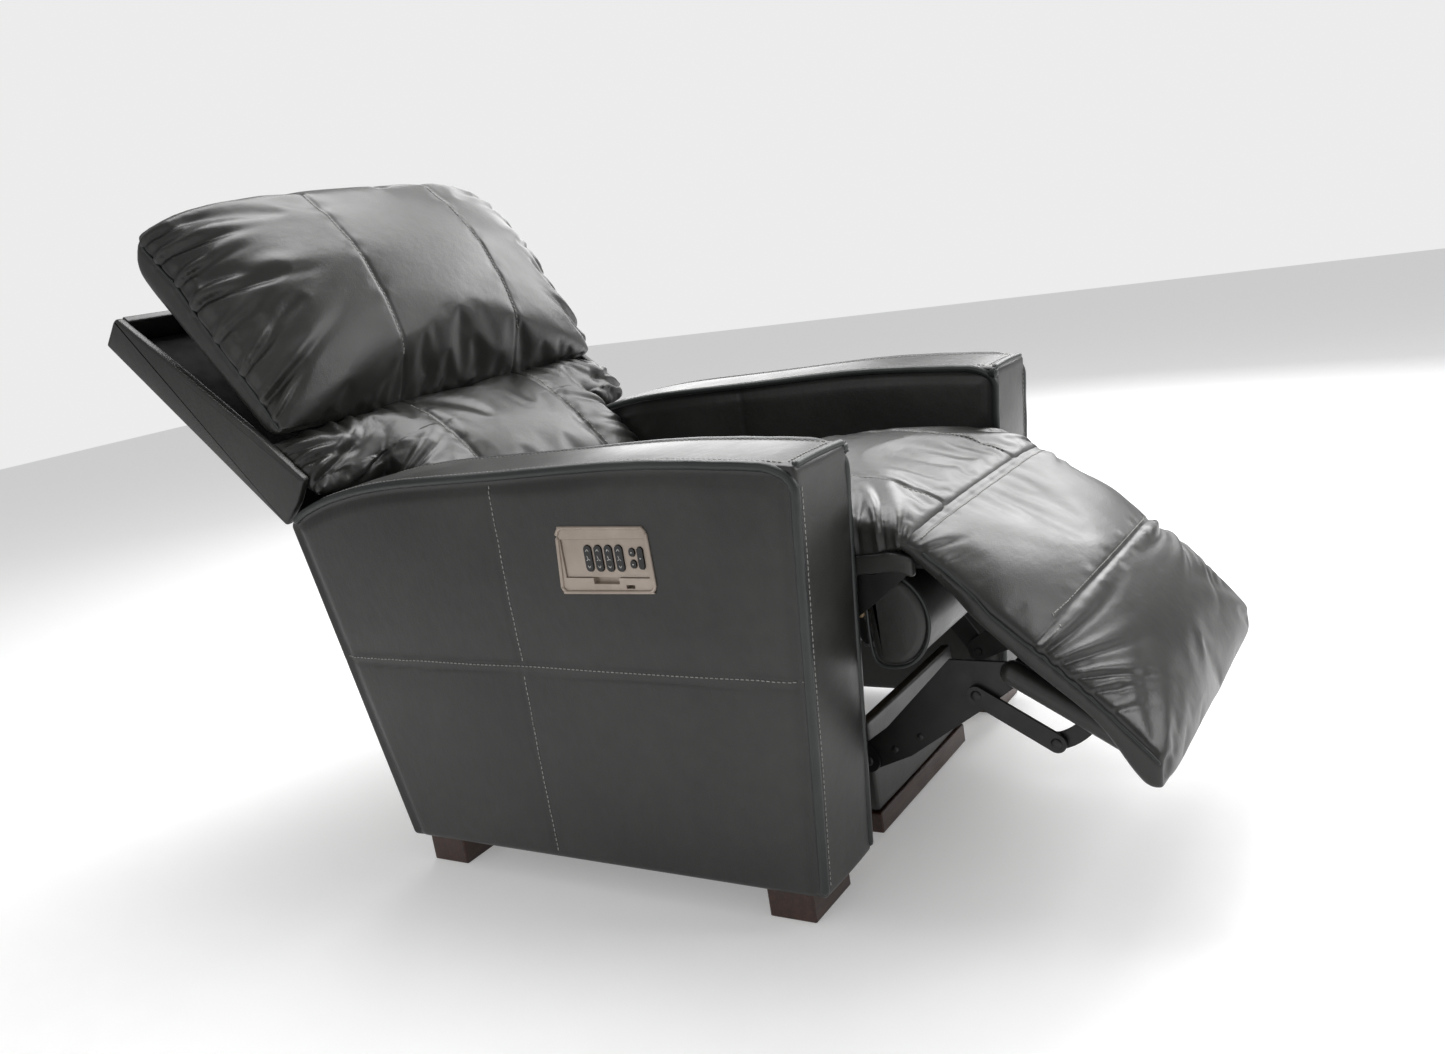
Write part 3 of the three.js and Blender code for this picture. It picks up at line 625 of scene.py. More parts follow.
def footrest_places(points):
    """x, along and out of points on the footrest, in mm: the way back from on_footrest."""
    x, y, z = (points / MM).T
    y = y - ARM_FRONT - FOOTREST_HINGE[0]
    z = z - FOOTREST_HINGE[1]
    return (x, y * math.cos(FOOTREST_SLOPE) + z * math.sin(FOOTREST_SLOPE),
            z * math.cos(FOOTREST_SLOPE) - y * math.sin(FOOTREST_SLOPE))


def seam_groove(distance, along, depth=2.4, pucker=0.5):
    """How far a seam pulls the leather in: a narrow groove, and small puckers that fade beside it."""
    groove = -depth * bell(distance, 4.0) - 0.35 * depth * bell(distance, 13.0)
    waves = np.sin(along / 9.0) + 0.7 * np.sin(along / 5.3 + 1.3)
    return groove + pucker * waves * bell(np.abs(distance) - 9.0, 9.0)


def gathers(towards, along, reach, height, spacing, phase=0.0):
    """Folds that run in from a gathered edge: ridges along it, deep at the edge and fading inwards."""
    drift = along + 14.0 * np.sin(along / 61.0 + phase) + 0.16 * towards
    ridges = (np.sin(2 * np.pi * drift / spacing + phase)
              + 0.55 * np.sin(2 * np.pi * drift / (spacing * 0.57) + 2.1))
    sharp = np.sign(ridges) * np.abs(ridges) ** 1.35
    return height * sharp * np.exp(-np.maximum(towards, 0) / reach)


def edge_folds(towards, along, marks):
    """Separate folds that run in from a gathered edge: each is a ridge beside a sharper crease.

    A mark is (place along the edge, lean, length, width, height). At t = towards / length the fold's
    middle is at place + lean * towards, its width grows with t and its height is exp(-t^2).
    """
    total = np.zeros_like(towards)
    for place, lean, length, width, height in marks:
        t = np.maximum(towards, 0) / length
        away = (along - place - lean * towards - 0.12 * towards * t) / (width * (0.45 + 0.8 * t))
        total += height * np.exp(-t * t) * (bell(away, 1.0) - 0.8 * bell(away + 1.25, 0.55))
    return total


# %% [markdown]
# ## Arms
# Each arm is a timber box wrapped in leather: a slightly swollen side with a cross of two seams, a crowned
# top, and thick folded welts along the top edges and down the front. One grid of a round-edged box
# is bent to the arm's outline, so that its faces meet without a gap, and the seams are pressed into it.

# %% The arm's outline
ARM_HALF = (HALF_WIDTH - ARM_INNER) / 2
ARM_MIDDLE = (HALF_WIDTH + ARM_INNER) / 2
ARM_LENGTH = 907.0
SIDE_SEAM_Z = 339.0
SIDE_SEAM_Y = 487.0
arm_crown = smooth_path([(0, 610), (12, 616), (129, 625), (264, 629), (463, 623), (680, 616), (799, 600),
                         (874, 577), (907, 557)], 200)


def arm_top(y):
    """Height of the arm's top, y mm behind its front."""
    return np.interp(y, arm_crown[:, 0], arm_crown[:, 1])


def arm_front(z):
    """The front face leans in by 45 mm towards the floor."""
    return (612 - z) * 45 / (612 - ARM_BASE)


def arm_rear(z):
    """The rear face leans in by 122 mm towards the floor."""
    return ARM_LENGTH - (557 - z) * 122 / (557 - ARM_BASE)


def arm_cover(side, name):
    """A round-edged box bent to the arm: across stays, and along and up run between its edges."""
    half = (ARM_HALF - 0.5, ARM_LENGTH / 2, (612 - ARM_BASE) / 2)
    box, faces = soft_box(half, 8.0, 5.5)
    along = (box[:, 1] / half[1] + 1) / 2
    rise = (box[:, 2] / half[2] + 1) / 2
    z = ARM_BASE + rise * (arm_top(ARM_LENGTH * along) - ARM_BASE)
    y = arm_front(z) + along * (arm_rear(z) - arm_front(z))
    on_side = bell(np.maximum(ARM_HALF - 1.5 - np.abs(box[:, 0]), 0), 4.0)
    inside = np.clip(np.minimum(np.minimum(along, 1 - along) * 24, np.minimum(rise, 1 - rise) * 16), 0, 1)
    to_level, to_upright = z - SIDE_SEAM_Z, y - SIDE_SEAM_Y - np.where(z > SIDE_SEAM_Z, 0, 3)
    swell = 1.6 * inside * (1 - bell(to_level, 34)) * (1 - 0.8 * bell(to_upright, 30))
    groove = 1.8 * bell(to_level + 2.5, 3.0) - 1.5 * bell(to_level - 3.5, 4.5) + 1.4 * bell(to_upright, 3.2)
    edge = np.minimum(np.minimum(y - arm_front(z), arm_rear(z) - y), arm_top(y) - z)
    recess = 4.2 * bell(edge - 15, 7.0)
    wander = (0.5 * np.sin(y / 83 + z / 61) + 0.4 * np.sin(z / 37 - y / 119)
              + 0.25 * np.sin(y / 29 + z / 43))
    outward = on_side * (swell - groove * inside + wander * inside - recess - 0.8)
    x = box[:, 0] + np.sign(box[:, 0]) * outward
    on_top = bell(np.maximum(half[2] - box[:, 2], 0), 5.0)
    z = z + on_top * 3.0 * (1 - (box[:, 0] / ARM_HALF) ** 2) * np.clip(along * 20, 0, 1)
    on_front = bell(np.maximum(half[1] + box[:, 1], 0), 5.0)
    y = y + on_front * (-2.0 * (1 - (box[:, 0] / ARM_HALF) ** 2) + 0.5 * np.sin(z / 47))
    return new_piece(name, at(side * ARM_MIDDLE + x, y, z), faces, leather)


def side_line(y0, y1, z0, z1, x, count=160):
    """A row of points on a side of the arm, between two places."""
    return at(x, np.linspace(y0, y1, count), np.linspace(z0, z1, count))


# %% The window for the dock
DOCK_CORNERS = [(375, 547), (228, 545), (227, 457), (383, 455)]


def round_corners(corners, radius, steps=8):
    """A polygon whose corners are quarter turns: each is a parabola between two points on its sides."""
    corners = np.asarray(corners, float)
    before, after = np.roll(corners, 1, axis=0) - corners, np.roll(corners, -1, axis=0) - corners
    start = corners + radius * before / np.linalg.norm(before, axis=1, keepdims=True)
    end = corners + radius * after / np.linalg.norm(after, axis=1, keepdims=True)
    t = np.linspace(0, 1, steps)[None, :, None]
    return ((1 - t) ** 2 * start[:, None] + 2 * t * (1 - t) * corners[:, None]
            + t ** 2 * end[:, None]).reshape(-1, 2)


def grow(outline, margin):
    """An outline moved outwards along its normals."""
    ahead_of = np.roll(outline, -1, axis=0) - np.roll(outline, 1, axis=0)
    normal = np.stack([ahead_of[:, 1], -ahead_of[:, 0]], axis=-1)
    normal /= np.maximum(np.linalg.norm(normal, axis=1, keepdims=True), 1e-9)
    centre = outline.mean(axis=0)
    outwards = np.sign(((outline - centre) * normal).sum())
    return outline + outwards * margin * normal


def slab(outline, low, high, radius, place, steps=4):
    """A plate with round edges: the outline carried across, drawn in by a quarter turn at both faces."""
    turn = np.linspace(0, np.pi / 2, steps)
    inset = radius * (1 - np.sin(turn))
    travel = radius * (1 - np.cos(turn))
    across = np.concatenate([low + travel, (high - travel)[::-1]])
    insets = np.concatenate([inset, inset[::-1]])
    rings = np.stack([grow(outline, -by) for by in insets])
    x = np.broadcast_to(across[:, None], rings.shape[:2])
    points = place(x.ravel(), rings[:, :, 0].ravel(), rings[:, :, 1].ravel())
    count = len(outline)
    faces = [*grid_faces(len(across), count, True), range(count),
             range((len(across) - 1) * count, len(across) * count)]
    return points, faces


def cut_window(cover):
    """Cuts the dock's outline through the outer wall of the cover."""
    points, faces = slab(grow(round_corners(DOCK_CORNERS, 13), 0.6),
                         -HALF_WIDTH - 30, -HALF_WIDTH + 17, 0.01, at, 2)
    cutter = new_piece("cutter", points, faces, lining)
    modifier = cover.modifiers.new("window", "BOOLEAN")
    modifier.object = cutter
    modifier.operation = "DIFFERENCE"
    modifier.solver = "EXACT"
    settle(cover)
    bpy.data.objects.remove(cutter)
    cover.data.set_sharp_from_angle(angle=math.radians(50))


# %% Both arms, with their welts and stitches
WELT = 6.6
y_top = np.linspace(896, 44, 40)
z_front = np.linspace(572, ARM_BASE + 6, 24)
crown_marks = np.stack([y_top, arm_top(y_top) - 3.5], axis=-1)
corner_marks = [(26, 609), (12, 600), (6, 588)]
front_marks = np.stack([arm_front(z_front) + 3.5, z_front], axis=-1)
welt_line = smooth_path(np.concatenate([crown_marks, corner_marks, front_marks]), 420)
welt_line += 0.35 * np.sin(np.arange(420) / 3.1)[:, None] * bell(np.arange(420) - 262, 60)[:, None]
y_top = np.linspace(20, 890, 220)
for side, arm in ((-1, "right"), (1, "left")):
    cover = arm_cover(side, f"{arm}_arm_cover")
    if side < 0:
        cut_window(cover)
    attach(cover, "base")
    panels = [f"{arm}_arm_{part}"
              for part in ("outer_panel", "inner_panel", "top_pad", "front_panel", "rear_panel")]
    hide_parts(*panels)

    outer, inner = side * (HALF_WIDTH - 4), side * (ARM_INNER + 4)
    runs = [(at(x, *welt_line.T), WELT * MM, (1, 0, 0)) for x in (outer, inner)]
    x_front = np.linspace(outer - side * 4, inner, 40)
    runs.append((at(x_front, 5.0 + 0 * x_front, 613 + 2.5 * np.cos((x_front - side * ARM_MIDDLE) / 50)),
                 WELT * 0.8 * MM, (0, 0, 1)))
    welts = tubes(f"{arm}_arm_welts", runs, leather_trim)
    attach(welts, "base")

    lump, faces = soft_box((8.5, 8.0, 9.0), 7.0, 2.0)
    folds = 1 + 0.13 * np.sin(lump[:, 2] * 1.5 + lump[:, 1] * 0.8) + 0.06 * np.sin(lump[:, 0] * 2.3)
    knot_place = (inner, 7.0, 606.0)
    lump = lump * folds[:, None] + knot_place
    knot = new_piece(f"{arm}_arm_corner_fold", at(*lump.T), faces, leather_trim)
    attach(knot, "base")

    rows = [side_line(arm_front(SIDE_SEAM_Z) + 8, arm_rear(SIDE_SEAM_Z) - 8,
                      SIDE_SEAM_Z + 4.5, SIDE_SEAM_Z + 4.5, x)
            for x in (side * (HALF_WIDTH + 2), side * (ARM_INNER - 2))]
    rows.append(side_line(SIDE_SEAM_Y - 4, SIDE_SEAM_Y - 4, SIDE_SEAM_Z + 10, 612, side * (HALF_WIDTH + 2)))
    rows.append(side_line(SIDE_SEAM_Y - 1, SIDE_SEAM_Y - 1, ARM_BASE + 10, SIDE_SEAM_Z - 6,
                          side * (HALF_WIDTH + 2)))
    rows += [at(x, y_top, arm_top(y_top) + 6) for x in (side * (HALF_WIDTH - 13), side * (ARM_INNER + 13))]
    z_row = np.linspace(590, ARM_BASE + 10, 120)
    rows.append(at(side * (HALF_WIDTH - 13), arm_front(z_row) - 4, z_row))
    rows += [at(np.linspace(outer - side * 12, inner + side * 12, 40), y, 626.0) for y in (11.0, 16.0)]
    stitching = stitch_rows(f"{arm}_arm_stitching", rows, cover)
    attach(stitching, "base")

# %% [markdown]
# ## Back shell
# Behind the cushions is an open tray of plywood wrapped in leather: a flat back, a rail across the
# top and a wing down each side. Each is a plate with round edges; its inside is lined with black cloth.

# %% The shell's plates
wing_outline = [(-462, SHELL), (-465, 50), (-460, 96), (-341, 92), (-166, 76), (-4, 58),
                (0, 50), (0, 0), (-462, 0)]
wing_points = round_corners(wing_outline, 5.0, 6)
for side, hand in ((-1, "right"), (1, "left")):
    low, high = sorted((side * (HALF_WIDTH - 16), side * HALF_WIDTH))
    wing = new_piece(f"{hand}_wing_cover", *slab(wing_points, low, high, 5.0, on_back, 5), leather, angle=50)
    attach(wing, "backrest")
    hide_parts(f"{hand}_back_wing")


def back_sheet(name, half_x, low, high):
    """A flat padded panel on the shell: a round-edged box, swollen a little on its outer face."""
    half = (half_x, (high - low) / 2, SHELL / 2 - 0.3)
    box, faces = soft_box(half, 5.0, 9.0)
    outer_face = np.clip(-box[:, 2] / half[2], 0, 1)
    inside = np.clip(np.minimum(half[0] - np.abs(box[:, 0]), half[1] - np.abs(box[:, 1])) / 40, 0, 1)
    seam = bell(np.abs(box[:, 0]) - 146, 6)
    out = box[:, 2] + SHELL / 2 - outer_face * (2.5 * inside - 2.2 * seam * inside)
    return new_piece(name, on_back(box[:, 0], box[:, 1] + (low + high) / 2, out), faces, leather)


upper_back = back_sheet("back_cover", HALF_WIDTH - 16.5, -461, -1)
lower_back = back_sheet("lower_back_cover", 248, -760, -462)
for piece in (upper_back, lower_back):
    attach(piece, "backrest")
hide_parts("back_panel")
rail_outline = round_corners([(0, 0), (0, 58), (-16, 58), (-16, 0)], 5.0, 6)
top_rail = new_piece("top_rail_cover",
                     *slab(rail_outline, -HALF_WIDTH + 16.4, HALF_WIDTH - 16.4, 2.0, on_back),
                     leather, angle=50)
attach(top_rail, "backrest")
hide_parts("back_top_rail")
lining_box, lining_faces = soft_box((HALF_WIDTH - 18, 220, 1.5), 1.2, 30)
inner_lining = new_piece("shell_lining",
                         on_back(lining_box[:, 0], lining_box[:, 1] - 240, lining_box[:, 2] + 16),
                         lining_faces, lining)
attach(inner_lining, "backrest")
back_rows = [on_back(x, np.linspace(-450, -12, 120), -6.0) for x in (-140, 140)]
back_stitching = stitch_rows("back_cover_stitching", back_rows, upper_back)
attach(back_stitching, "backrest")

# %% [markdown]
# ## Head cushion
# The big roll at the top stands forward of the shell on its tilting plate. Two long seams divide its
# front into three panels; at its sides the front is gathered into a seam, so folds run in from there.

# %% Head cushion
HEAD_HALF = 401.0                                      # the roll tilts back between the shell's wings
SEAM_X = 146.0
head_section = [(28, 226), (20, 262), (0, 281), (-50, 290), (-100, 292), (-150, 288), (-190, 281),
                (-230, 265), (-270, 247), (-307, 226), (-336, 204), (-360, 182), (-378, 156),
                (-384, 126), (-372, 98),
                (-340, 86), (-240, 98), (-120, 112), (-30, 125), (8, 140), (22, 172)]
head_seam = [(-384, 112), (-300, 134), (-214, 150), (-149, 165), (-88, 182), (0, 190), (28, 196)]
HEAD_FOLDS = [(4, -0.15, 70, 11, 7.0), (-34, -0.3, 105, 15, 9.0), (-88, -0.1, 80, 13, 7.0),
              (-132, -0.35, 120, 17, 9.5), (-196, 0.1, 75, 15, 6.0), (-262, 0.45, 85, 16, 6.5),
              (-318, 0.3, 110, 15, 7.5), (-352, 0.55, 60, 11, 5.0)]
points, faces = pillow(head_section, head_seam, HEAD_HALF, crown=(2.8, 1.9), under=(22.0, 6.0))
head_roll = remesh(new_piece("head_roll", on_back(*points.T), faces, leather), 6 * MM)
x, along, out = back_places(points_of(head_roll.data))
seam_out = np.interp(along, *np.array(head_seam, float).T)
sewn = (np.abs(x) > HEAD_HALF - 10) | (out < seam_out - 6)
fill(head_roll, sewn, slack=0.012, cap=24 * MM)
refine(head_roll)
x, along, out = back_places(points_of(head_roll.data))
seam_out = np.interp(along, *np.array(head_seam, float).T)
on_front = 1 / (1 + np.exp(-(out - seam_out - 4) / 5))
edge = HEAD_HALF - np.abs(x)
press(head_roll, on_front * (seam_groove(np.abs(x) - SEAM_X, along)
                             + edge_folds(edge, along, HEAD_FOLDS)
                             + gathers(edge, along, 34.0, 1.6, 58.0, phase=0.6)
                             + 1.4 * bell(edge, 170) * np.sin(along / 41 + x / 65))
      - 3.0 * bell(out - seam_out, 4.0) * bell(edge, 60))
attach(head_roll, "headrest")
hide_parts("head_cushion")
seam_along = np.linspace(-372, 18, 90)
seam_line = np.interp(seam_along, *np.array(head_seam, float).T)
head_piping = piping_on("head_roll_piping",
                        [on_back(sign * HEAD_HALF, seam_along, seam_line) for sign in (-1, 1)],
                        head_roll)
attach(head_piping, "headrest")
head_rows = [on_back(sign * (SEAM_X + 4), along_row,
                     np.interp(along_row, [-340, -230, -100, 10], [200, 262, 290, 270]))
             for sign in (-1, 1) for along_row in [np.linspace(-350, 14, 160)]]
head_stitching = stitch_rows("head_roll_stitching", head_rows, head_roll)
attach(head_stitching, "headrest")

# %% [markdown]
# ## Lumbar cushion
# Below the head roll the back cushion is T-shaped: two ears reach across the shell, and the narrow
# middle goes down between the arms to the seat. Two pillows overlap, and remeshing makes them one skin.

# %% Lumbar cushion
CORE_HALF = 266.0
EAR_HALF = 404.0
core_section = [(-366, 60), (-366, 100), (-380, 122), (-424, 139), (-472, 147), (-515, 149), (-555, 146),
                (-600, 141), (-650, 130), (-684, 108), (-692, 80), (-688, 50), (-600, 44), (-450, 44)]
core_seam = [(-692, 96), (-560, 118), (-466, 112), (-366, 82)]
ear_section = [(-368, 60), (-366, 92), (-380, 118), (-410, 136), (-440, 138), (-468, 122),
               (-486, 92), (-482, 60),
               (-440, 46), (-400, 46)]
ear_seam = [(-486, 92), (-366, 84)]
LUMBAR_FOLDS = [(-392, -0.5, 70, 12, 5.0), (-424, -0.2, 95, 14, 7.0), (-462, 0.3, 110, 14, 7.5),
                (-520, 0.4, 95, 16, 7.0), (-566, 0.1, 70, 13, 4.5), (-618, 0.3, 80, 14, 5.0)]
EAR_FOLDS = [(352, -0.2, 60, 13, 5.0), (302, 0.35, 75, 12, 6.0), (262, 0.5, 55, 10, 4.5),
             (196, 0.3, 45, 12, 2.5)]
core_points, core_faces = pillow(core_section, core_seam, CORE_HALF, crown=(5.0, 2.4), under=(12.0, 4.0))
ear_points, ear_faces = pillow(ear_section, ear_seam, EAR_HALF, crown=(3.4, 2.2), under=(9.0, 3.0))
both = np.concatenate([core_points, ear_points])
both_faces = [*core_faces, *[[i + len(core_points) for i in face] for face in ear_faces]]
lumbar_pad = remesh(new_piece("lumbar_pad", on_back(*both.T), both_faces, leather), 5.5 * MM)
x, along, out = back_places(points_of(lumbar_pad.data))
sewn = (np.abs(np.abs(x) - SEAM_X) < 4) | (out < 84) | (np.abs(x) > EAR_HALF - 14)
sewn |= (np.abs(np.abs(x) - CORE_HALF) < 6) & (along < -480) & (out < 122)
fill(lumbar_pad, sewn, slack=0.010, cap=22 * MM)
refine(lumbar_pad)
x, along, out = back_places(points_of(lumbar_pad.data))
on_front = 1 / (1 + np.exp(-(out - 88) / 6))
core_edge = np.where(along < -470, CORE_HALF - np.abs(x), EAR_HALF - np.abs(x))
press(lumbar_pad, on_front * (seam_groove(np.abs(x) - SEAM_X, along)
                              + edge_folds(core_edge, along, LUMBAR_FOLDS)
                              + edge_folds(-366 - along, np.abs(x), EAR_FOLDS)
                              + gathers(core_edge, along + 0.6 * x, 40.0, 1.6, 52.0, phase=1.9)))
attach(lumbar_pad, "backrest")
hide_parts("lumbar_cushion")
lumbar_rows = [on_back(sign * (SEAM_X + 4), along_row, 152.0)
               for sign in (-1, 1) for along_row in [np.linspace(-640, -392, 110)]]
lumbar_stitching = stitch_rows("lumbar_stitching", lumbar_rows, lumbar_pad)
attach(lumbar_stitching, "backrest")

# %% [markdown]
# ## Seat cushion
# The seat is flat where the deck carries it and gently crowned on top. Two long seams run back to front,
# and at its front edge it is sewn to the footrest pad along a seam right across.

# %% Seat cushion
SEAT_HALF = 271.0
SEAT_SEAM_X = 140.0


def on_seat(x, along, out):
    """Points of the seat: along is how far behind the arms' front, out is the height above the floor."""
    return at(x, along, out)


seat_section = [(-56, 470), (-66, 484), (-60, 500), (-30, 520), (20, 531), (80, 536), (215, 535),
                (400, 519),
                (560, 501), (630, 488), (646, 462), (634, 420), (600, 396), (400, 394), (100, 394),
                (20, 398),
                (0, 424), (-20, 448)]
seat_seam = [(-66, 474), (0, 490), (200, 496), (600, 462), (646, 450)]
SEAT_FOLDS = [(-48, 0.25, 58, 9, 4.0), (-22, 0.5, 82, 11, 4.5), (14, 0.35, 60, 12, 3.5),
              (58, 0.15, 46, 13, 2.0)]
points, faces = pillow(seat_section, seat_seam, SEAT_HALF, crown=(6.0, 2.4), under=(14.0, 5.0),
                       shrink=0.01)
seat_pad = remesh(new_piece("seat_pad", on_seat(*points.T), faces, leather), 6 * MM)
places = points_of(seat_pad.data) / MM
x, y, z = places[:, 0], places[:, 1] - ARM_FRONT, places[:, 2]
sewn = (z < 462) | (y < -58) | (np.abs(x) > SEAT_HALF - 9)
fill(seat_pad, sewn, slack=0.006, cap=12 * MM)
refine(seat_pad)
places = points_of(seat_pad.data) / MM
x, y, z = places[:, 0], places[:, 1] - ARM_FRONT, places[:, 2]
on_top = 1 / (1 + np.exp(-(z - 470) / 6))
press(seat_pad, on_top * (seam_groove(np.abs(x) - SEAT_SEAM_X, y, depth=2.6)
                          + edge_folds(SEAT_HALF - np.abs(x), y, SEAT_FOLDS)))
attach(seat_pad, "seat")
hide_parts("seat_cushion")
seat_rows = [at(sign * (SEAT_SEAM_X + 3.5), np.linspace(-52, 560, 200),
                np.interp(np.linspace(-52, 560, 200), [-60, 0, 100, 600], [505, 530, 540, 500]))
             for sign in (-1, 1)]
seat_stitching = stitch_rows("seat_stitching", seat_rows, seat_pad)
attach(seat_stitching, "seat")

# %% [markdown]
# ## Footrest pad
# One long pad hangs from the seat's front seam, over the hinge and down the footrest. A second seam crosses
# it at half its length.
# Near its hinge it is a little narrower, because the seat slides back there between the arms.

# %% Footrest pad
PAD_HALF = 287.0
CROSS_SEAM = -188.0
FIRST_SEAM = 16.0
BEND_START, BEND_END = (tuple(on_footrest(0, along, 30.0)[0]) for along in (26.0, -60.0))
pad_section = [(28, 16), (32, 34), (22, 48), (0, 57), (-60, 74), (-120, 84), (-188, 84), (-250, 84),
               (-330, 74),
               (-384, 58), (-408, 36), (-410, 16), (-396, 0), (-372, 2), (-300, 20), (-196, 15), (-100, 15),
               (-8, 15)]
pad_seam = [(-410, 22), (-390, 46), (-300, 50), (-197, 48), (-100, 44), (0, 38), (32, 30)]
PAD_FOLDS = [(-4, -0.35, 58, 10, 3.5), (-32, -0.2, 36, 9, 2.2), (-196, -0.12, 165, 13, 6.0),
             (-218, -0.42, 135, 12, 5.5), (-242, -0.7, 100, 11, 5.0), (-268, -0.55, 72, 11, 4.0),
             (-300, -0.4, 50, 11, 2.5)]


def pad_narrowing(along):
    """1 on the footrest and 0.945 near its hinge, where the pad can slide back between the arms."""
    t = np.clip((along + 125) / 75, 0, 1)
    return 1 - 0.055 * t * t * (3 - 2 * t)


points, faces = pillow(pad_section, pad_seam, PAD_HALF, crown=(3.4, 2.0), under=(16.0, 5.0),
                       shrink=0.02, around=190)
points[:, 0] *= pad_narrowing(points[:, 1])
chaise_pad = remesh(new_piece("footrest_cover", on_footrest(*points.T), faces, leather), 6 * MM)
x, along, out = footrest_places(points_of(chaise_pad.data))
seam_out = np.interp(along, *np.array(pad_seam, float).T)
sewn = (out < seam_out - 5) | (np.abs(x) > PAD_HALF * pad_narrowing(along) - 7) | (along > 22)
fill(chaise_pad, sewn, slack=0.003, cap=16 * MM)
refine(chaise_pad)
x, along, out = footrest_places(points_of(chaise_pad.data))
seam_out = np.interp(along, *np.array(pad_seam, float).T)
on_front = 1 / (1 + np.exp(-(out - seam_out - 3) / 4))
edge = PAD_HALF * pad_narrowing(along) - np.abs(x)
press(chaise_pad, on_front * (seam_groove(along - CROSS_SEAM, x)
                              - 1.6 * bell(along - FIRST_SEAM + 6, 4.0)
                              + edge_folds(edge, along, PAD_FOLDS)
                              + 0.9 * np.sin(along / 47 + x / 83) * bell(edge, 220))
      - 3.2 * bell(out - seam_out, 3.5) * bell(edge, 40))
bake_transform(chaise_pad)
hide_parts("footrest_pad")
edge_along = np.linspace(-392, -8, 90)
edge_line = np.interp(edge_along, *np.array(pad_seam, float).T)
edge_x = PAD_HALF * pad_narrowing(edge_along)
pad_piping = piping_on("footrest_piping",
                       [on_footrest(sign * edge_x, edge_along, edge_line) for sign in (-1, 1)],
                       chaise_pad)
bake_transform(pad_piping)
across = np.linspace(-262, 262, 150)
pad_stitching = stitch_rows("footrest_stitching", [on_footrest(across, CROSS_SEAM + 5, 95.0)], chaise_pad)
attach(pad_stitching, "footrest")
first_rows = [on_footrest(across, FIRST_SEAM - 6, 62.0)]
first_stitching = stitch_rows("seat_front_stitching", first_rows, chaise_pad)
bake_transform(first_stitching)

# %% The flaps under the seat's front corners
for side, hand in ((-1, "right"), (1, "left")):
    box, faces = soft_box((7.5, 42.0, 13.0), 5.0, 6.0)
    droop = 6 * (box[:, 1] / 42) ** 2 + 1.2 * np.sin(box[:, 1] / 9)
    flap = new_piece(f"{hand}_seat_flap",
                     at(side * 269.5 + box[:, 0], box[:, 1] - 24, box[:, 2] + 453 - droop),
                     faces, leather)
    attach(flap, "seat")

# %% [markdown]
# ## Front bolster and the footrest's padded board edges
# Under the seat's front hangs a bolster whose end is a D-shaped cap with piping round it. The footrest's
# board is wrapped in leather rolled into a thick edge on each side.

# %% Front bolster
bolster_section = [(12, 444), (-12, 440), (-42, 424), (-64, 396), (-69, 362), (-56, 328),
                   (-30, 308), (4, 308),
                   (14, 330), (14, 390)]
BOLSTER_BACK = tuple(at(0, 14, 370)[0])                # the middle of the bolster's back
outline = smooth_path(bolster_section, 120, closed=True)
bolster = new_piece("front_bolster", *slab(outline, -261, 261, 14.0, at, 9), leather)
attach(bolster, "seat")
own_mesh(bolster)
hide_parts("seat_front_roll")
piping_runs = [(at(sign * 256, *grow(outline, 1.5)[np.arange(121) % 120].T), 2.6 * MM, (1, 0, 0))
               for sign in (-1, 1)]
bolster_piping = tubes("bolster_piping", piping_runs, leather_trim)
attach(bolster_piping, "seat")
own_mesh(bolster_piping)

# %% Padded edges of the footrest's board
for side, hand in ((-1, "right"), (1, "left")):
    t = np.linspace(0, 1, 90)
    along = -176 - 208 * t
    out = -22.0 + 48.0 * t + 3 * np.sin(np.pi * t)
    path = on_footrest(side * (245 + 4 * np.sin(np.pi * t)), along, out)
    edge_roll = tubes(f"{hand}_board_edge", [(path, 16.5 * MM, (1, 0, 0))], leather)
    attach(edge_roll, "footrest")

# %% [markdown]
# ## Front board
# Between the arms, low down, a board wrapped in leather hides the machinery, on a timber rail.

# %% Front board cover
board_low, board_high = (np.array(corner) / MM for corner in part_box("front_board"))
board_half = (board_high - board_low) / 2
box, faces = soft_box(board_half - 0.3, 5.0, 8.0)
swell = 1.5 * np.clip(-box[:, 1] / board_half[1], 0, 1) * (1 - (box[:, 0] / board_half[0]) ** 2)
box[:, 1] -= swell
board_cover = new_piece("front_board_cover", (box + (board_low + board_high) / 2) * MM, faces, leather)
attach(board_cover, "base")
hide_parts("front_board")

# %% [markdown]
# ## Dock and buttons
# The control dock's face is a satin plate with a raised rim. Four rockers carry white marks for the way
# each moves the chair, and the three small buttons carry dots; there is no lettering.

# %% Dock rim and marks
rim_path = grow(round_corners(DOCK_CORNERS, 13), -1.0)
rim_path = rim_path[np.arange(len(rim_path) + 1) % len(rim_path)]
rim_path = smooth_path(rim_path[:-1], 200, closed=True)[np.arange(201) % 200]
rim = tubes("dock_rim", [(at(-HALF_WIDTH - 0.4, *rim_path.T), 2.6 * MM, (1, 0, 0))], satin_panel)
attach(rim, "base")


def mark(name, strokes, body, x, width=0.8):
    """Printed marks: each stroke is a thin flat bar from one place to another on the button's face."""
    runs = []
    for y0, z0, y1, z1 in strokes:
        t = np.linspace(0, 1, 5)
        runs.append((at(x, y0 + (y1 - y0) * t, z0 + (z1 - z0) * t), width / 2 * MM, (1, 0, 0)))
    piece = tubes(name, runs, ink)
    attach(piece, body)
    return piece


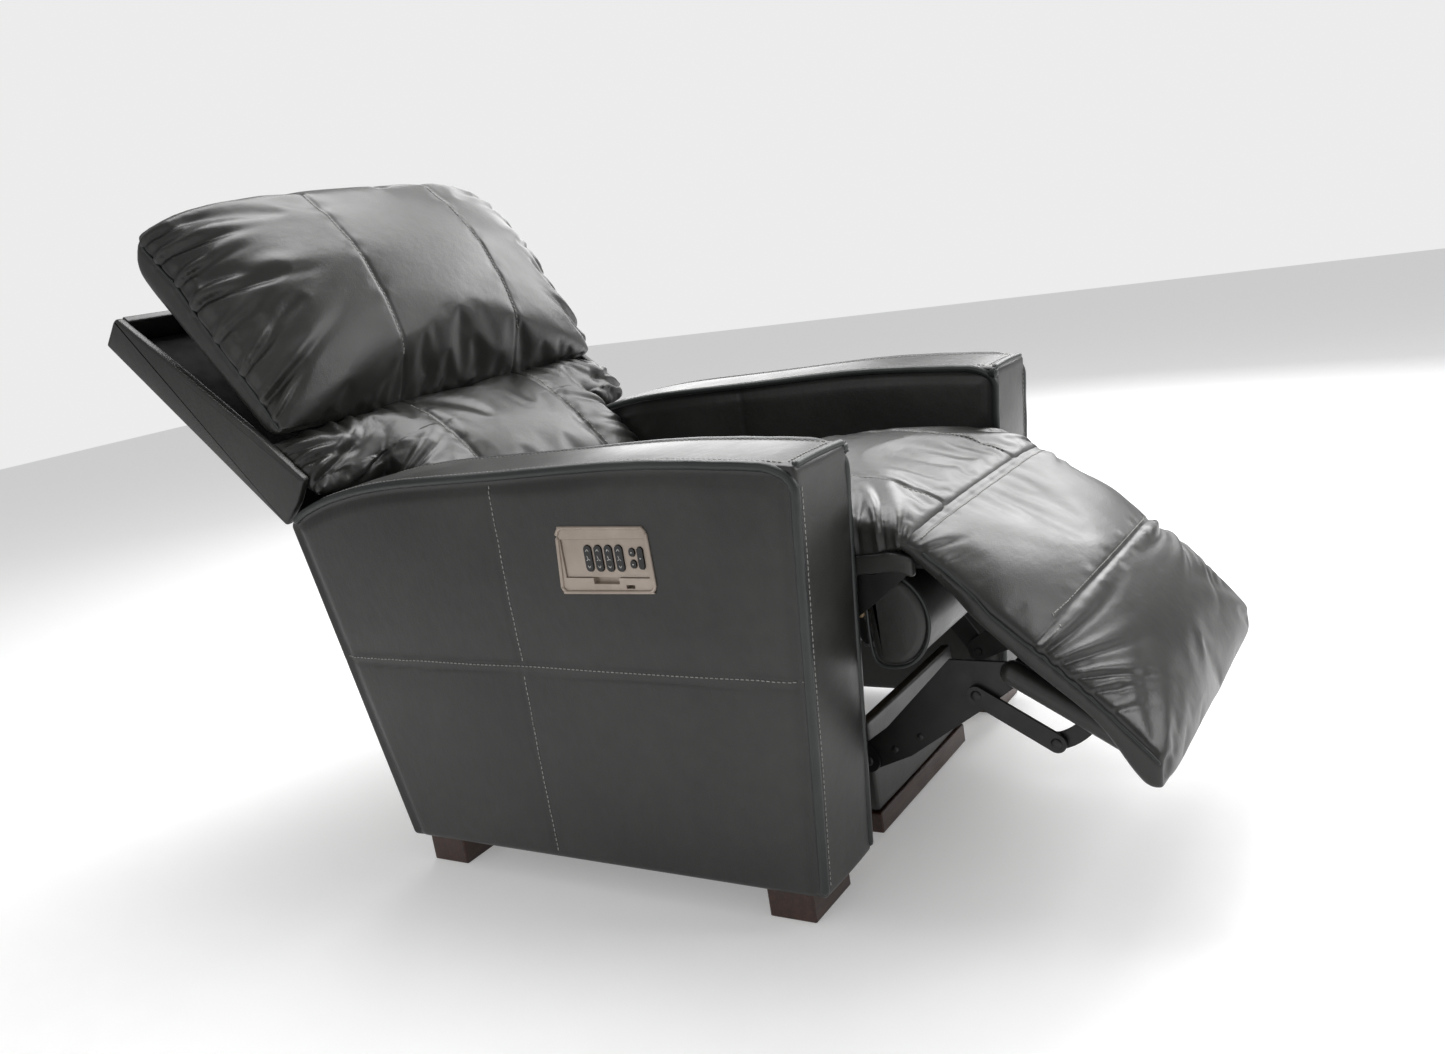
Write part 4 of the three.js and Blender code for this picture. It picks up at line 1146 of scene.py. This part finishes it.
for k in range(1, 5):
    low, high = (np.array(corner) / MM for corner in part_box(f"rocker_{k}"))
    y, z = (low[1] + high[1]) / 2 - ARM_FRONT, (low[2] + high[2]) / 2
    face = low[0] - 0.1
    arrows = [(y - 2.4, z + 9.5, y, z + 13), (y, z + 13, y + 2.4, z + 9.5),
              (y - 2.4, z - 9.5, y, z - 13), (y, z - 13, y + 2.4, z - 9.5),
              (y - 3, z - 3 + k % 2, y, z - 1), (y, z - 1, y + 1.6, z + 4), (y, z - 1, y + 3.2, z - 3)]
    mark(f"rocker_{k}_marks", arrows, f"rocker_{k}", face)
for name in ("memory_button_1", "memory_button_2", "home_button"):
    low, high = (np.array(corner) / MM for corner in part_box(name))
    y, z = (low[1] + high[1]) / 2 - ARM_FRONT, (low[2] + high[2]) / 2
    mark(f"{name}_mark", [(y - 1.2, z, y + 1.2, z)], name, low[0] - 0.1, width=2.0)

# %% [markdown]
# ## Finishes on the frame's own parts
# Every plate, link, motor and foot keeps its shape from the frame. A small bevel on its edges
# catches the light as a real sheared or sawn edge does, and each gets its finish by its slot.

# %% Hard parts
slots = {part["node"]: part["material_slot"] for part in frame["record"]["subparts"]}
EDGE = {"black_steel": 0.6, "zinc_steel": 0.6, "timber": 2.5, "board": 1.0,
        "satin_panel": 0.5, "black_plastic": 0.7}
for name, node in frame["nodes"].items():
    finish = FINISHES[slots[name]]
    node.data.materials.clear()
    node.data.materials.append(finish)
    if slots[name] in EDGE:
        weld = node.modifiers.new("weld", "WELD")
        weld.merge_threshold = 0.00002
        bevel = node.modifiers.new("edge", "BEVEL")
        bevel.width = EDGE[slots[name]] * MM
        bevel.segments = 2
        bevel.limit_method = "ANGLE"
        bevel.angle_limit = math.radians(40)
        bevel.harden_normals = False
print("frame parts", len(frame["nodes"]))


# %% Rivet heads
def rivet(name, body, centres, radius=7.5, height=2.6):
    """Domed rivet heads: a low cap of a sphere at each centre, on the outer side of its plate."""
    rise = np.linspace(0, np.pi / 2, 5)
    turn = np.linspace(0, 2 * np.pi, 18, endpoint=False)
    points, faces, start = [], [], 0
    for side in (-1, 1):
        for x, y, z in centres:
            ring = radius * np.cos(rise)[:, None] * MM
            cap = np.stack([np.broadcast_to(side * height * np.sin(rise)[:, None] * MM, (5, 18)),
                            ring * np.cos(turn), ring * np.sin(turn)], axis=-1).reshape(-1, 3)
            points.append(at(side * x, y, z) + cap)
            faces += [[i + start for i in face] for face in [*grid_faces(5, 18, True), range(18)]]
            start += len(cap)
    piece = new_piece(name, np.concatenate(points), faces, black_steel, angle=60)
    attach(piece, body)
    return piece


def pivot_at(joint):
    """A joint's place as y behind the arms' front and height, in mm."""
    return pivots[joint][1] - ARM_FRONT, pivots[joint][2]


OUTER_FACE = 226.2
LIFT_FACE = 219.2
rivet("swing_frame_rivets", "swing_frame", [(OUTER_FACE, *pivot_at("lift_link_turn"))])
rivet("toggle_rivets", "toggle_links",
      [(OUTER_FACE, *pivot_at("toggle_turn")), (OUTER_FACE, *pivot_at("curved_link_turn"))])
rivet("lift_link_rivets", "lift_links", [(LIFT_FACE, -20, 190), (LIFT_FACE, 20, 168)],
      radius=5.0, height=2.0)

# %% [markdown]
# ## Floor and sizes
# A plain pale floor under the feet. Last, the size of the dressed chair is printed, as the frame's was at
# the start;
# Upholstery may stand only a little proud of it.

# %% Floor, sizes and finish
floor_mesh = bpy.data.meshes.new("floor")
floor_mesh.from_pydata([(-9, -9, 0), (9, -9, 0), (9, 9, 0), (-9, 9, 0)], [], [(0, 1, 2, 3)])
floor_mesh.materials.append(pale_floor)
floor = bpy.data.objects.new("floor", floor_mesh)
floor.location.z = -0.0005
bpy.context.scene.collection.objects.link(floor)
floor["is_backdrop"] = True

low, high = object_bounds()
print("dressed box", tuple(low), tuple(high))
